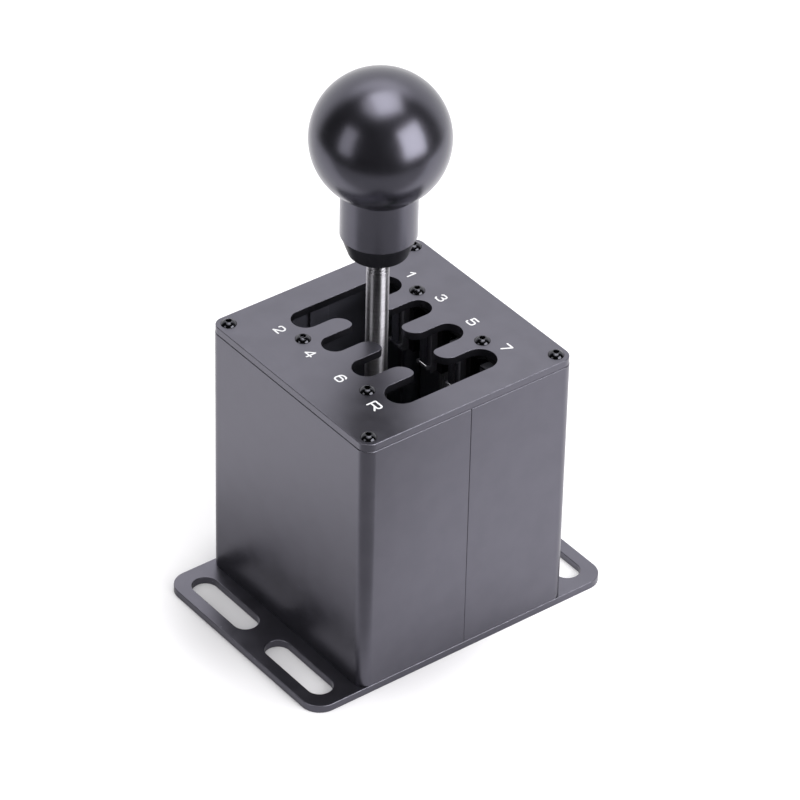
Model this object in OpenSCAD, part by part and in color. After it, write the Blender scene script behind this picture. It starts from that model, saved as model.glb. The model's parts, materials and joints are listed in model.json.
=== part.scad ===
// H-pattern gear shifter for a driving simulator: seven forward gears and reverse.
// Millimetres, +Z up, +Y forward (towards gears 1, 3, 5 and 7), +X to the driver's right.
// The origin is the middle of the underside of the base plate.

/* [Housing] */
// Width of the box, side to side
housing_w = 90; // [88:1:110]
// Depth of the box, front to rear
housing_d = 90; // [88:1:110]
// Height of the box walls between the two plates
housing_h = 102; // [96:1:130]
// Thickness of the box walls
housing_wall = 2; // [1.5:0.1:2.6]
// Radius of the upright corners of the box
housing_corner_r = 4.5; // [3:0.5:7]
// Radius of the screw ports in the four corners
port_r = 3.4; // [3:0.1:3.9]
// Thickness of the lip that laps the joint between the two halves
lip_t = 1.2; // [0.8:0.1:1.6]
// How far the lip reaches past the joint
lip_reach = 4; // [2:0.5:6]

/* [Base plate] */
// Length of the base plate, front to rear
base_l = 130; // [124:1:160]
// Thickness of the base plate
base_t = 3; // [3:0.5:5]
// Radius of the base plate's corners
base_corner_r = 7.5; // [3:0.5:9]
// End-to-end length of each fixing slot
fix_slot_l = 34; // [26:1:36]
// Width of each fixing slot
fix_slot_w = 9.6; // [6:0.2:10]
// Distance between the middles of the two slots at one end
fix_slot_pitch = 44; // [40:1:46]
// Distance from the plate's end to the middle of its slots
fix_slot_inset = 9.8; // [8.5:0.1:10.5]

/* [Gate plate] */
// Thickness of the gate plate
gate_t = 3; // [2:0.5:5]
// How much smaller the gate plate is than the box, on each side
gate_margin = 0.15; // [0:0.05:0.5]
// Width of the slot for gears 1 and 2
slot_12_w = 10.5; // [9.5:0.1:11]
// Width of the slot for gears 3 and 4
slot_34_w = 9.5; // [9:0.1:10.5]
// Width of the slot for gears 5 and 6
slot_56_w = 10.5; // [9.5:0.1:11]
// Width of the slot for gear 7 and reverse
slot_7r_w = 12; // [11.6:0.1:12.6]
// Width of the tongues between the slots
tongue_w = 7.6; // [7:0.1:8.4]
// Radius of the tight corner at a tongue's tip
tongue_nose_r = 2.4; // [1.5:0.1:3.4]
// Width of the neutral channel between the tips of the tongues
neutral_w = 12; // [10:0.2:14]
// Distance from the ends of the gate opening to the front and rear of the box, on average
gate_border = 22.15; // [21:0.05:24]
// Middle of the gate opening, to the right of the box's middle
gate_x = 0.35; // [-1:0.05:1]
// Middle of the gate opening, in front of the box's middle
gate_y = 0.65; // [-0.5:0.05:1]
// Distance from the box's sides to the middles of the corner screws
corner_inset = 4.7; // [4.4:0.1:5.4]
// Distance from the ends of the gate opening to the inner screws, on average
inner_screw_gap = 1.95; // [1.8:0.05:4]
// Shift of the two right-hand inner screws from the middle of their tongue
inner_screw_shift = 1.8; // [0:0.1:2]

/* [Lever] */
// Height of the lever's pivot above the surface it stands on
pivot_z = 24; // [22.5:0.5:28]
// Diameter of the shift shaft
shaft_d = 8; // [7:0.1:8.2]
// Diameter of the ball of the knob
ball_d = 49; // [40:0.2:56]
// Height of the ball's middle above the top of the gate plate
ball_lift = 77.7; // [70:0.1:100]
// Diameter of the knob's neck
neck_d = 27; // [24:0.2:32]
// Distance from the ball's middle down to the end of the neck
neck_drop = 38.7; // [32:0.1:46]
// Width of the bevel at the neck's lower edge
neck_bevel = 0.3; // [0.2:0.1:1]
// Diameter of the black collar under the neck, at its top
knob_collar_d = 26.4; // [18:0.2:27]
// Diameter of that collar at its bottom
knob_collar_low_d = 21.7; // [15:0.1:24]
// Height of the black collar
knob_collar_h = 7.9; // [6:0.1:10]
// Radius of the black collar's lower edge
knob_collar_r = 1.2; // [0.5:0.1:2]
// Outer diameter of the threaded insert in the knob
insert_d = 12; // [11:0.2:14]
// Length of the insert
insert_l = 20; // [12:1:24]

/* [Pivot] */
// Width of the lever block, side to side
block_w = 11; // [9.4:0.1:11.4]
// Depth of the lever block, front to rear
block_d = 15; // [14:0.2:18]
// How far the lever block reaches below the pivot
block_drop = 8; // [6:0.5:9]
// Height of the lever block's top above the pivot
block_top = 32; // [30:0.5:36]
// Height of the spring guide rod above the pivot
rod_h = 10; // [9.8:0.1:11]
// Diameter of the spring guide rod
rod_d = 4; // [3:0.1:4.2]
// Height of the gimbal ring
ring_h = 14; // [12:0.5:15]
// Thickness of the gimbal ring's end walls
ring_end_t = 4.5; // [4:0.1:4.6]
// Thickness of the gimbal ring's long walls
ring_side_t = 5; // [4:0.2:5.4]
// Diameter of the two trunnions
trunnion_d = 8; // [6:0.1:8]
// Diameter of the select pin
pin_d = 6; // [5:0.1:6.4]
// Outer diameter of the bearings
bearing_d = 16; // [15.6:0.2:18]
// Width of the bearings
bearing_w = 5; // [4:0.5:5]
// Thickness of the bearing blocks
bearing_block_t = 8; // [7:0.5:8]
// Depth of the bearing blocks, front to rear
bearing_block_d = 24; // [22:0.5:28]
// Distance between the two screws of each bearing block
bearing_block_pitch = 16; // [14:0.5:17]
// Wire thickness of the centring springs
centring_wire = 0.6; // [0.4:0.05:0.8]
// Outer diameter of the centring springs
centring_d = 7; // [6.6:0.1:8]
// Number of turns of each centring spring
centring_turns = 5; // [4:0.5:6]

/* [Detent] */
// Thickness of the detent sector
sector_t = 6; // [4:0.5:6]
// Radius of the leaf's nose that drops into the notches
nose_r = 1.3; // [1:0.1:1.4]
// How deep the nose sits in its notch
notch_depth = 0.9; // [0.6:0.1:1]
// How far the bowed leaf rises above the floor
leaf_rise = 2.6; // [2.2:0.1:4]
// Distance between the leaf's two feet
leaf_span = 24; // [22:1:26]
// Thickness of the leaf
leaf_t = 0.6; // [0.4:0.1:0.8]
// Length of each foot of the leaf
leaf_foot = 8; // [7.5:0.5:9]

/* [Switches] */
// Width of each microswitch
switch_w = 6.4; // [5.4:0.1:6.6]
// Depth of each microswitch
switch_d = 10.2; // [9:0.1:10.4]
// Height of each microswitch
switch_h = 19.8; // [18:0.1:22]
// Width of the switch's lever strip
strip_w = 4; // [3:0.1:4.2]
// Thickness of the lever strip
strip_t = 0.35; // [0.2:0.05:0.5]
// Distance from the gate plate's underside down to the free end of the strips
strip_drop = 4.7; // [4.2:0.1:6]
// Length of the lever strip from its hinge to its free end
strip_l = 17.8; // [15:0.1:18]
// Distance between a strip and its switch
strip_stand = 0.85; // [0.75:0.05:1.1]
// Thickness of the switch bracket's flange and fins
bracket_t = 2.6; // [2:0.1:3]
// Depth of the switch bracket's flange
bracket_d = 10; // [8.5:0.5:11]

/* [Electronics] */
// Length of the control board, side to side
board_l = 60; // [50:1:64]
// Depth of the control board, front to rear
board_d = 21; // [19:0.5:22]
// Thickness of the control board
board_t = 1.6; // [1:0.1:2]
// Height of the standoffs under the control board
standoff_h = 5; // [4:0.5:6]
// Distance between the control board and the front wall
board_gap = 2; // [1.5:0.1:3]
// Width of the flat cables
cable_w = 12; // [8:0.5:13]
// Thickness of the flat cables
cable_t = 0.8; // [0.5:0.1:1]
// Place of the socket, to the right of the box's middle
socket_x = 16; // [10:0.5:22]

/* [Clearances] */
// Gap round a piece that is fixed in its seat, per side
seat_gap = 0.01; // [0:0.01:0.03]
// Gap of a running fit, per side
run_gap = 0.05; // [0.02:0.01:0.08]
// Gap round a screw in its clearance hole, per side
screw_gap = 0.2; // [0.1:0.05:0.3]
// Gap between the shaft and a slot's end in gear
end_gap = 0.84; // [0.7:0.02:1.2]
// Gap between the shaft in gear and an unpressed lever strip
strip_gap = 0.3; // [0.2:0.05:0.5]
// Gap between the lip and the wall that it laps
lip_gap = 0.1; // [0.05:0.05:0.3]
// Gap beside a moving block or washer
side_gap = 0.3; // [0.2:0.05:0.5]
// Gap between the left trunnion's end and the box wall
wall_room = 3.75; // [3.2:0.05:4]

/* [Hidden] */
$fn = 64;
GEARS = ["1", "3", "5", "7", "2", "4", "6", "r"];
function switch_name(k) = str("switch_", GEARS[k]);
function strip_name(k) = str("switch_lever_", GEARS[k]);

// Heights of the plates
floor_z = base_t;
gate_low = base_t + housing_h;
gate_top = gate_low + gate_t;
gate_mid = gate_low + gate_t / 2;
inner_w = housing_w - 2 * housing_wall;
inner_d = housing_d - 2 * housing_wall;

// Columns of the gate, from 1-2 on the left to 7-R on the right
gate_len = housing_d - 2 * gate_border;
inner_screw_y = gate_len / 2 + inner_screw_gap;
slot_ws = [slot_12_w, slot_34_w, slot_56_w, slot_7r_w];
open_w = slot_12_w + slot_34_w + slot_56_w + slot_7r_w + 3 * tongue_w;
function before(i) = i == 0 ? 0 : before(i - 1) + slot_ws[i - 1] + tongue_w;
function column_left(i) = gate_x - open_w / 2 + before(i);
function column_x(i) = column_left(i) + slot_ws[i] / 2;
inner_screw_xs = [
    column_left(1) - tongue_w / 2,
    column_left(3) - tongue_w / 2 + inner_screw_shift
];
corner_x = housing_w / 2 - corner_inset;
corner_y = housing_d / 2 - corner_inset;

// The pivot lies under the 3-4 column, and both tilts follow from the gate: the lever stands in
// the middle of a column when it is in gear
pivot_x = column_x(1);
gate_lift = gate_top - pivot_z;
shift_angle = atan((gate_len / 2 - shaft_d / 2 - end_gap) / gate_lift);
select_right = atan((column_x(3) - pivot_x) * cos(shift_angle) / (gate_mid - pivot_z));

// Screws
m3_d = 3;
m3_head_d = 5.7;
m3_head_h = 1.65;
m3_len = 8;
m4_d = 4;
m4_head_d = 7.6;
m4_len = 10;
m3_flat_head_d = 6;
m3_flat_len = 10;
m2_d = 2;
m2_head_d = 3.6;
m2_head_h = 1.3;
thread_bite = 0.05;

// Places across the pivot, measured from the pivot
bush_flange_t = 0.7;
bush_wall = 1;
bush_flange_w = 1;
block_gap = 1;
clip_t = 0.6;
clip_w = 1.5;
clip_groove = 0.3;
trunnion_end = 0.2;
ring_out_x = inner_w / 2 + pivot_x - wall_room - trunnion_end - clip_t - bearing_block_t - block_gap;
ring_in_x = ring_out_x - ring_end_t;
ring_in_y = block_d / 2 + bush_flange_t + side_gap;
ring_out_y = ring_in_y + ring_side_t;
bearing_step = bearing_block_t - bearing_w;
left_block_in = ring_out_x + block_gap;
right_block_in = ring_out_x + sector_t + block_gap;
race_in_t = 1.25;
race_out_t = 1.2;
track_depth = 0.35;
race_in_r = trunnion_d / 2 + race_in_t;
race_out_r = bearing_d / 2 - race_out_t;
ball_track_r = (race_in_r + race_out_r) / 2;
bearing_ball_r = (race_out_r - race_in_r) / 2 + track_depth;
block_crown_wall = 4;
block_ledge = 1.5;
block_foot_h = 9.5;
spacer_wall = 1.2;
hub_wall = 4;
bearing_ball_count = 8;

// Window of the lever block: the rod crosses it at a slant when the lever tilts
window_slack = 0.25;
function rod_cross(a, s) = rod_h * cos(a) + (s * block_w / 2 + rod_h * sin(a)) * tan(a);
window_low = rod_cross(select_right, -1) - rod_d / 2 / cos(select_right) - window_slack;
window_high = rod_cross(select_right, 1) + rod_d / 2 / cos(select_right) + window_slack;
socket_web = 1.6;
socket_floor = window_high + socket_web;
upright_wall = 2.5;
upright_top = rod_h + rod_d / 2 + upright_wall;
upright_d = 12;

// Detent: the sector hangs from the pivot and the leaf stands on the floor under it
detent_x = pivot_x + ring_out_x + sector_t / 2;
nose_at = pivot_z - floor_z - leaf_rise;
sector_r = nose_at - nose_r + notch_depth;
sector_margin = 9;
leaf_r = (leaf_span * leaf_span / 4 + leaf_rise * leaf_rise) / (2 * leaf_rise);
leaf_foot_w = sector_t + block_gap;
leaf_screw_edge = 3.7;
leaf_screw_y = leaf_span / 2 + leaf_foot - leaf_screw_edge;
detent_screw_len = base_t + leaf_t - 0.2;
nut_af = 13;
nut_t = 4;

// Switches: their strips stand just past the shaft's reach in gear
strip_top = gate_low - strip_drop;
strip_lift = strip_top - pivot_z;
strip_y = strip_lift * tan(shift_angle) + shaft_d / 2 / cos(shift_angle) + strip_gap;
case_y = strip_y + strip_t + strip_stand;
hinge_y = strip_y + strip_t / 2;
hinge_z = strip_top - strip_l;
case_top = strip_top - 0.5;
lug_most = 1.1;
eye_r = 0.65;
hinge_pin_r = 0.35;
press_h = 8;
press_r = 0.8;
blade_l = 6;
blade_w = 3.2;
blade_t = 0.6;
blade_inset = 2;
blade_pitch = (switch_h - 2 * blade_inset - blade_t) / 2;
bond = 0.1;
hole_low = 5.2;
hole_pitch = 9.5;
hole_back = 3;
bracket_gap = 0.5;
bracket_front = gate_len / 2 + bracket_gap;
bracket_pad = 0.45;
fin_step = 2.5;
function switch_x(i) = pivot_x + (column_x(i) - pivot_x) * strip_lift / (gate_mid - pivot_z);
harness_y = case_y + switch_d + blade_l;

// Electronics on the floor, in front of the gimbal
board_front = inner_d / 2 - board_gap;
board_rear = board_front - board_d;
board_low = floor_z + standoff_h;
board_top = board_low + board_t;
standoff_inset = 3;
standoff_d = 5;
m25_d = 2.5;
header_d = 3;
header_h = 4.4;
rear_header_h = 3;
header_w = cable_w + 2;
header_x = -board_l / 2 + 2 * standoff_inset + header_w / 2 + 1;
chip_w = 9;
chip_h = 1.2;
chip_inset = 4;
clock_w = 4;
clock_d = 3;
clock_h = 1.4;
clock_gap = 5;
usb_w = 9;
usb_h = 3.2;
usb_l = 8;
usb_wall = 0.4;
usb_back_t = 0.8;
usb_tongue_w = 5.4;
usb_tongue_t = 0.7;
usb_tongue_drop = 1.5;
usb_hole_gap = 1.2;

// Colours as the eye sees them
anodised = [0.30, 0.30, 0.33];
edge_black = [0.12, 0.12, 0.13];
screw_black = [0.08, 0.08, 0.09];
steel = [0.78, 0.78, 0.80];
alloy = [0.70, 0.71, 0.73];
brass_tone = [0.80, 0.65, 0.32];
case_black = [0.14, 0.14, 0.15];
board_green = [0.10, 0.35, 0.22];
cable_grey = [0.62, 0.63, 0.66];

// A rectangle with round corners, centred
module round_rect(w, d, r) {
    square([w - 2 * r, d], center = true);
    square([w, d - 2 * r], center = true);
    for (x = [-1, 1], y = [-1, 1]) {
        translate([x * (w / 2 - r), y * (d / 2 - r)]) circle(r);
    }
}

// A slot with round ends, along X
module long_slot(l, w) {
    square([l - w, w], center = true);
    for (x = [-1, 1]) {
        translate([x * (l - w) / 2, 0]) circle(w / 2);
    }
}

// Puts its children at the four corner screws
module at_corners() {
    for (x = [-1, 1], y = [-1, 1]) {
        translate([x * corner_x, y * corner_y, 0]) children();
    }
}

// Puts its children at the four inner screws
module at_inner_screws() {
    for (x = inner_screw_xs, y = [-1, 1]) {
        translate([x, y * inner_screw_y, 0]) children();
    }
}

// Puts its children at the pivot
module at_pivot() {
    translate([pivot_x, gate_y, pivot_z]) children();
}

// A cylinder along X from x = a to x = b
module rod_x(a, b, r) {
    translate([a, 0, 0]) rotate([0, 90, 0]) cylinder(h = b - a, r = r);
}

// A cylinder along Y from y = a to y = b
module rod_y(a, b, r) {
    translate([0, a, 0]) rotate([-90, 0, 0]) cylinder(h = b - a, r = r);
}

// A button-head screw: its head stands on z = 0 and its shank points down
module button_screw(d, head_d, head_h, length, socket_af) {
    dome_r = (head_d * head_d / 4 + head_h * head_h) / (2 * head_h);
    difference() {
        union() {
            rotate_extrude() {
                intersection() {
                    translate([0, head_h - dome_r]) circle(dome_r);
                    square([head_d, head_h]);
                }
            }
            translate([0, 0, -length]) cylinder(h = length, d = d);
        }
        translate([0, 0, head_h * 0.35]) cylinder(h = head_h, d = socket_af / cos(30), $fn = 6);
    }
}

// A flat-head screw from below: its head is flush with z = 0 and its shank points up
module flat_screw(d, head_d, length, socket_af) {
    cone_h = (head_d - d) / 2;
    difference() {
        union() {
            cylinder(h = cone_h, d1 = head_d, d2 = d);
            cylinder(h = length, d = d);
        }
        translate([0, 0, -1]) cylinder(h = 1 + cone_h * 0.7, d = socket_af / cos(30), $fn = 6);
    }
}

// The countersunk hole for a flat-head screw, through a plate from z = 0
module flat_hole(d, head_d, t) {
    wide = head_d + 2 * screw_gap;
    narrow = d + 2 * screw_gap;
    cone_h = (wide - narrow) / 2;
    translate([0, 0, -1]) cylinder(h = 1.001, d = wide);
    cylinder(h = cone_h, d1 = wide, d2 = narrow);
    cylinder(h = t + 1, d = narrow);
}

// The places of the floor screws: two for each bearing block
module at_floor_screws() {
    for (y = [-1, 1] * bearing_block_pitch / 2) {
        translate([pivot_x - left_block_in - bearing_block_t / 2, gate_y + y, 0]) children();
        translate([pivot_x + right_block_in + bearing_block_t / 2, gate_y + y, 0]) children();
    }
}

// The two screws that hold the leaf's feet
module at_detent_screws() {
    for (y = [-1, 1] * leaf_screw_y) {
        translate([detent_x, gate_y + y, floor_z]) children();
    }
}

// The four standoffs of the control board
module at_standoffs() {
    for (x = [-1, 1] * (board_l / 2 - standoff_inset), y = [0, 1]) {
        translate([x, board_rear + standoff_inset + y * (board_d - 2 * standoff_inset), 0]) children();
    }
}

module base_plate() {
    color(anodised) difference() {
        linear_extrude(base_t) difference() {
            round_rect(housing_w, base_l, base_corner_r);
            for (x = [-1, 1], y = [-1, 1]) {
                translate([x * fix_slot_pitch / 2, y * (base_l / 2 - fix_slot_inset)])
                    long_slot(fix_slot_l, fix_slot_w);
            }
        }
        at_corners() flat_hole(m3_d, m3_flat_head_d, base_t);
        at_floor_screws() flat_hole(m4_d, m4_head_d, base_t);
        at_detent_screws() translate([0, 0, -base_t - 1])
            cylinder(h = base_t + 2, d = m3_d + 2 * thread_bite);
    }
}

// One half of the box wall, from the joint to the outer face, with its two screw ports
module housing_half(side) {
    half = side > 0 ? 0 : -housing_d / 2;
    linear_extrude(housing_h) difference() {
        union() {
            intersection() {
                difference() {
                    round_rect(housing_w, housing_d, housing_corner_r);
                    round_rect(inner_w, inner_d, max(housing_corner_r - housing_wall, 0.5));
                }
                translate([-housing_w / 2, half]) square([housing_w, housing_d / 2]);
            }
            for (x = [-1, 1]) {
                translate([x * corner_x, side * corner_y]) circle(port_r);
            }
        }
        for (x = [-1, 1]) {
            translate([x * corner_x, side * corner_y]) circle(m3_d / 2 + thread_bite);
        }
    }
}

module rear_housing() {
    color(anodised) translate([0, 0, floor_z]) {
        housing_half(-1);
        for (x = [-1, 1]) {
            translate([x * (inner_w / 2 - lip_t / 2 - lip_gap), 0, housing_h / 2])
                cube([lip_t, 2 * lip_reach, housing_h], center = true);
            translate([x * (inner_w / 2 - lip_t / 2), -lip_reach / 2 - lip_gap / 2, housing_h / 2])
                cube([lip_t, lip_reach - lip_gap, housing_h], center = true);
        }
    }
}

module front_housing() {
    hole_w = usb_w + 2 * usb_hole_gap;
    hole_h = usb_h + 2 * usb_hole_gap;
    color(anodised) difference() {
        translate([0, 0, floor_z]) housing_half(1);
        translate([socket_x, housing_d / 2, board_top + usb_h / 2]) rotate([90, 0, 0])
            linear_extrude(4 * housing_wall, center = true) long_slot(hole_w, hole_h);
    }
}

// A tongue of the gate, pointing forward from y = 0 down, with its tip at y = 0
module tongue(l) {
    flank_r = tongue_w - tongue_nose_r;
    translate([-tongue_w / 2, -l]) square([tongue_w, l - flank_r]);
    translate([-tongue_w / 2 + flank_r, -l]) square([tongue_nose_r, l - tongue_nose_r]);
    intersection() {
        translate([-tongue_w / 2 + flank_r, -flank_r]) circle(flank_r);
        translate([-tongue_w / 2, -flank_r]) square([flank_r, flank_r]);
    }
    intersection() {
        translate([tongue_w / 2 - tongue_nose_r, -tongue_nose_r]) circle(tongue_nose_r);
        translate([tongue_w / 2 - tongue_nose_r, -tongue_nose_r]) square(tongue_nose_r);
    }
}

// The whole gate opening: four slots, the neutral channel, and the tongues left standing
module gate_opening() {
    channel = neutral_w + 2 * (tongue_w - tongue_nose_r) + 1;
    difference() {
        union() {
            for (i = [0 : 3]) {
                translate([column_x(i), gate_y]) rotate(90) long_slot(gate_len, slot_ws[i]);
            }
            translate([gate_x, gate_y]) square([open_w, channel], center = true);
        }
        for (i = [1 : 3]) {
            translate([column_left(i) - tongue_w / 2, gate_y]) {
                translate([0, -neutral_w / 2]) tongue(channel);
                rotate(180) translate([0, -neutral_w / 2]) tongue(channel);
            }
        }
    }
}

module gate_plate() {
    hole_r = m3_d / 2 + screw_gap;
    color(anodised) translate([0, 0, gate_low]) linear_extrude(gate_t) difference() {
        round_rect(
            housing_w - 2 * gate_margin, housing_d - 2 * gate_margin, housing_corner_r - gate_margin
        );
        gate_opening();
        at_corners() circle(hole_r);
        at_inner_screws() circle(hole_r);
    }
}

module gate_screws() {
    color(screw_black) translate([0, 0, gate_top]) {
        at_corners() button_screw(m3_d, m3_head_d, m3_head_h, m3_len, 2);
        at_inner_screws() button_screw(m3_d, m3_head_d, m3_head_h, m3_len, 2);
    }
}

module housing_screws() {
    color(screw_black) at_corners() flat_screw(m3_d, m3_flat_head_d, m3_flat_len, 2);
}

module floor_screws() {
    color(screw_black) at_floor_screws() flat_screw(m4_d, m4_head_d, m4_len, 2.5);
}

// A bearing block from x = 0 to x = its thickness, with the bearing's pocket in the far face
module bearing_block() {
    crown_r = bearing_d / 2 + block_crown_wall;
    lift = pivot_z - floor_z;
    difference() {
        union() {
            translate([0, -bearing_block_d / 2, -lift])
                cube([bearing_block_t, bearing_block_d, block_foot_h]);
            translate([0, -crown_r, -lift]) cube([bearing_block_t, 2 * crown_r, lift]);
            rod_x(0, bearing_block_t, crown_r);
        }
        rod_x(bearing_step, bearing_block_t + 1, bearing_d / 2 + seat_gap);
        rod_x(-1, bearing_block_t, bearing_d / 2 - block_ledge);
        for (y = [-1, 1] * bearing_block_pitch / 2) {
            translate([bearing_block_t / 2, y, -lift - 1])
                cylinder(h = m4_len - base_t + 2, d = m4_d + 2 * thread_bite);
        }
    }
}

module left_bearing_block() {
    color(alloy) at_pivot() mirror([1, 0, 0]) translate([left_block_in, 0, 0]) bearing_block();
}

module right_bearing_block() {
    color(alloy) at_pivot() translate([right_block_in, 0, 0]) bearing_block();
}

// Puts its children at both bearings, with x = 0 on the bearing's inner face, x pointing outwards
module at_bearings() {
    at_pivot() {
        mirror([1, 0, 0]) translate([left_block_in + bearing_step, 0, 0]) children();
        translate([right_block_in + bearing_step, 0, 0]) children();
    }
}

// The groove that the balls run in
module ball_track() {
    translate([bearing_w / 2, 0, 0]) rotate([0, 90, 0]) rotate_extrude()
        translate([ball_track_r, 0]) circle(bearing_ball_r + run_gap);
}

module bearing_outer_races() {
    color(steel) at_bearings() difference() {
        rod_x(0, bearing_w, bearing_d / 2);
        rod_x(-1, bearing_w + 1, race_out_r);
        ball_track();
    }
}

module bearing_inner_races() {
    color(steel) at_bearings() difference() {
        rod_x(0, bearing_w, race_in_r);
        rod_x(-1, bearing_w + 1, trunnion_d / 2 + seat_gap);
        ball_track();
    }
}

module bearing_balls() {
    color(steel) at_bearings() for (k = [0 : bearing_ball_count - 1]) {
        rotate([k * 360 / bearing_ball_count, 0, 0])
            translate([bearing_w / 2, 0, ball_track_r]) sphere(bearing_ball_r);
    }
}

// Distance from the pivot to the outer face of each bearing
function bearing_out(block_in) = block_in + bearing_block_t;

module trunnion(block_in) {
    end = bearing_out(block_in) + clip_t + trunnion_end;
    difference() {
        rod_x(ring_in_x, end, trunnion_d / 2);
        difference() {
            rod_x(bearing_out(block_in), bearing_out(block_in) + clip_t, trunnion_d);
            rod_x(0, end, trunnion_d / 2 - clip_groove);
        }
    }
}

module trunnions() {
    color(steel) at_pivot() {
        mirror([1, 0, 0]) trunnion(left_block_in);
        trunnion(right_block_in);
    }
}

// A sleeve round the trunnion from x = a to x = b
module spacer(a, b) {
    difference() {
        rod_x(a, b, trunnion_d / 2 + spacer_wall);
        rod_x(a - 1, b + 1, trunnion_d / 2 + seat_gap);
    }
}

module trunnion_spacers() {
    color(alloy) at_pivot() {
        mirror([1, 0, 0]) spacer(ring_out_x, left_block_in + bearing_step);
        spacer(ring_out_x + sector_t, right_block_in + bearing_step);
    }
}

// An open retaining clip in a groove, its axis along Z, from z = 0 up
module clip(d) {
    difference() {
        cylinder(h = clip_t, r = d / 2 + clip_w - clip_groove);
        translate([0, 0, -1]) cylinder(h = clip_t + 2, r = d / 2 - clip_groove + seat_gap);
        translate([0, -d * 0.35, -1]) cube([d, d * 0.7, clip_t + 2]);
    }
}

module retaining_clips() {
    color(steel) at_pivot() {
        mirror([1, 0, 0]) translate([bearing_out(left_block_in), 0, 0]) rotate([0, 90, 0]) clip(trunnion_d);
        translate([bearing_out(right_block_in), 0, 0]) rotate([0, 90, 0]) clip(trunnion_d);
        for (s = [0, 1]) {
            mirror([0, s, 0]) translate([0, ring_out_y, 0]) rotate([-90, 0, 0]) clip(pin_d);
        }
    }
}

module gimbal_frame() {
    color(alloy) at_pivot() difference() {
        union() {
            difference() {
                cube([2 * ring_out_x, 2 * ring_out_y, ring_h], center = true);
                cube([2 * ring_in_x, 2 * ring_in_y, ring_h + 2], center = true);
            }
            for (x = [-1, 1]) {
                translate([x * (ring_in_x + ring_end_t / 2), 0, upright_top / 2])
                    cube([ring_end_t, upright_d, upright_top], center = true);
            }
        }
        rod_x(-ring_out_x - 1, ring_out_x + 1, trunnion_d / 2 + seat_gap);
        rod_y(-ring_out_y - 1, ring_out_y + 1, pin_d / 2 + seat_gap);
        translate([0, 0, rod_h]) rod_x(-ring_out_x - 1, ring_out_x + 1, rod_d / 2 + seat_gap);
    }
}

module select_pin() {
    end = ring_out_y + clip_t + trunnion_end;
    color(steel) at_pivot() difference() {
        rod_y(-end, end, pin_d / 2);
        for (s = [0, 1]) {
            mirror([0, s, 0]) difference() {
                rod_y(ring_out_y, ring_out_y + clip_t, pin_d);
                rod_y(0, end, pin_d / 2 - clip_groove);
            }
        }
    }
}

module spring_guide_rod() {
    color(steel) at_pivot() translate([0, 0, rod_h]) rod_x(-ring_out_x, ring_out_x, rod_d / 2);
}

// Points of one ring of a coil: k-th ring along a helix round the X axis, with a six-sided wire
function coil_ring(r, wire, length, turns, k, n) = [
    for (j = [0 : 5])
        let (a = 360 * turns * k / n, b = 60 * j, out = r + wire / 2 * cos(b))
            [wire / 2 + (length - wire) * k / n + wire / 2 * sin(b), out * cos(a), out * sin(a)]
];

// Faces of the tube through n + 1 rings of six points, with both ends closed
function coil_faces(n) = concat(
    [[0, 1, 2], [0, 2, 3], [0, 3, 4], [0, 4, 5]],
    [
        for (k = [0 : n - 1], j = [0 : 5], half = [0, 1])
            let (a = 6 * k + j, b = 6 * k + (j + 1) % 6)
                half == 0 ? [a, a + 6, b] : [b, a + 6, b + 6]
    ],
    [for (j = [1 : 4]) [6 * n, 6 * n + j + 1, 6 * n + j]]
);

// A coil spring along X from x = 0, eight rings to a turn
module coil(r, wire, length, turns) {
    n = round(8 * turns);
    polyhedron(
        points = [for (k = [0 : n]) each coil_ring(r, wire, length, turns, k, n)],
        faces = coil_faces(n)
    );
}

// One centring spring on the guide rod, between the lever block and the upright
module centring_spring() {
    from = block_w / 2 + side_gap / 2;
    length = ring_in_x - from - side_gap / 2;
    translate([from, 0, rod_h]) coil((centring_d - centring_wire) / 2, centring_wire, length, centring_turns);
}

module left_centring_spring() {
    color(steel) at_pivot() rotate([0, 0, 180]) centring_spring();
}

module right_centring_spring() {
    color(steel) at_pivot() centring_spring();
}

// The sector turns with the gimbal and has a notch for rear, neutral and front
module detent_sector() {
    hub_r = trunnion_d / 2 + hub_wall;
    reach = sector_r + 1;
    half = shift_angle + sector_margin;
    color(steel) at_pivot() translate([ring_out_x, 0, 0]) rotate([90, 0, 90]) linear_extrude(sector_t)
        difference() {
            union() {
                circle(hub_r);
                intersection() {
                    circle(sector_r);
                    polygon([
                        [0, 0],
                        [-hub_r, 0],
                        [-reach * sin(half), -reach * cos(half)],
                        [0, -reach * 1.2],
                        [reach * sin(half), -reach * cos(half)],
                        [hub_r, 0]
                    ]);
                }
            }
            circle(trunnion_d / 2 + seat_gap);
            for (a = [-1, 0, 1] * shift_angle) {
                rotate(a) translate([0, -nose_at]) circle(nose_r + run_gap);
            }
        }
}

// A bowed leaf on two feet, with a round nose on its crown
module detent_leaf_spring() {
    color(steel) translate([detent_x, gate_y, floor_z]) {
        rotate([90, 0, 90]) linear_extrude(sector_t, center = true) {
            intersection() {
                translate([0, leaf_rise - leaf_r]) difference() {
                    circle(leaf_r, $fn = 128);
                    circle(leaf_r - leaf_t, $fn = 128);
                }
                translate([-leaf_span / 2, 0]) square([leaf_span, leaf_rise + 1]);
            }
            translate([0, leaf_rise]) circle(nose_r);
        }
        for (s = [0, 1]) {
            mirror([0, s, 0]) difference() {
                translate([-leaf_foot_w / 2, leaf_span / 2 - 2 * leaf_t, 0])
                    cube([leaf_foot_w, leaf_foot + 2 * leaf_t, leaf_t]);
                translate([0, leaf_screw_y, -1]) cylinder(h = leaf_t + 2, r = m3_d / 2 + screw_gap);
            }
        }
    }
}

module detent_screws() {
    color(screw_black) at_detent_screws() translate([0, 0, leaf_t])
        button_screw(m3_d, m3_head_d, m3_head_h, detent_screw_len, 2);
}

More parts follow.
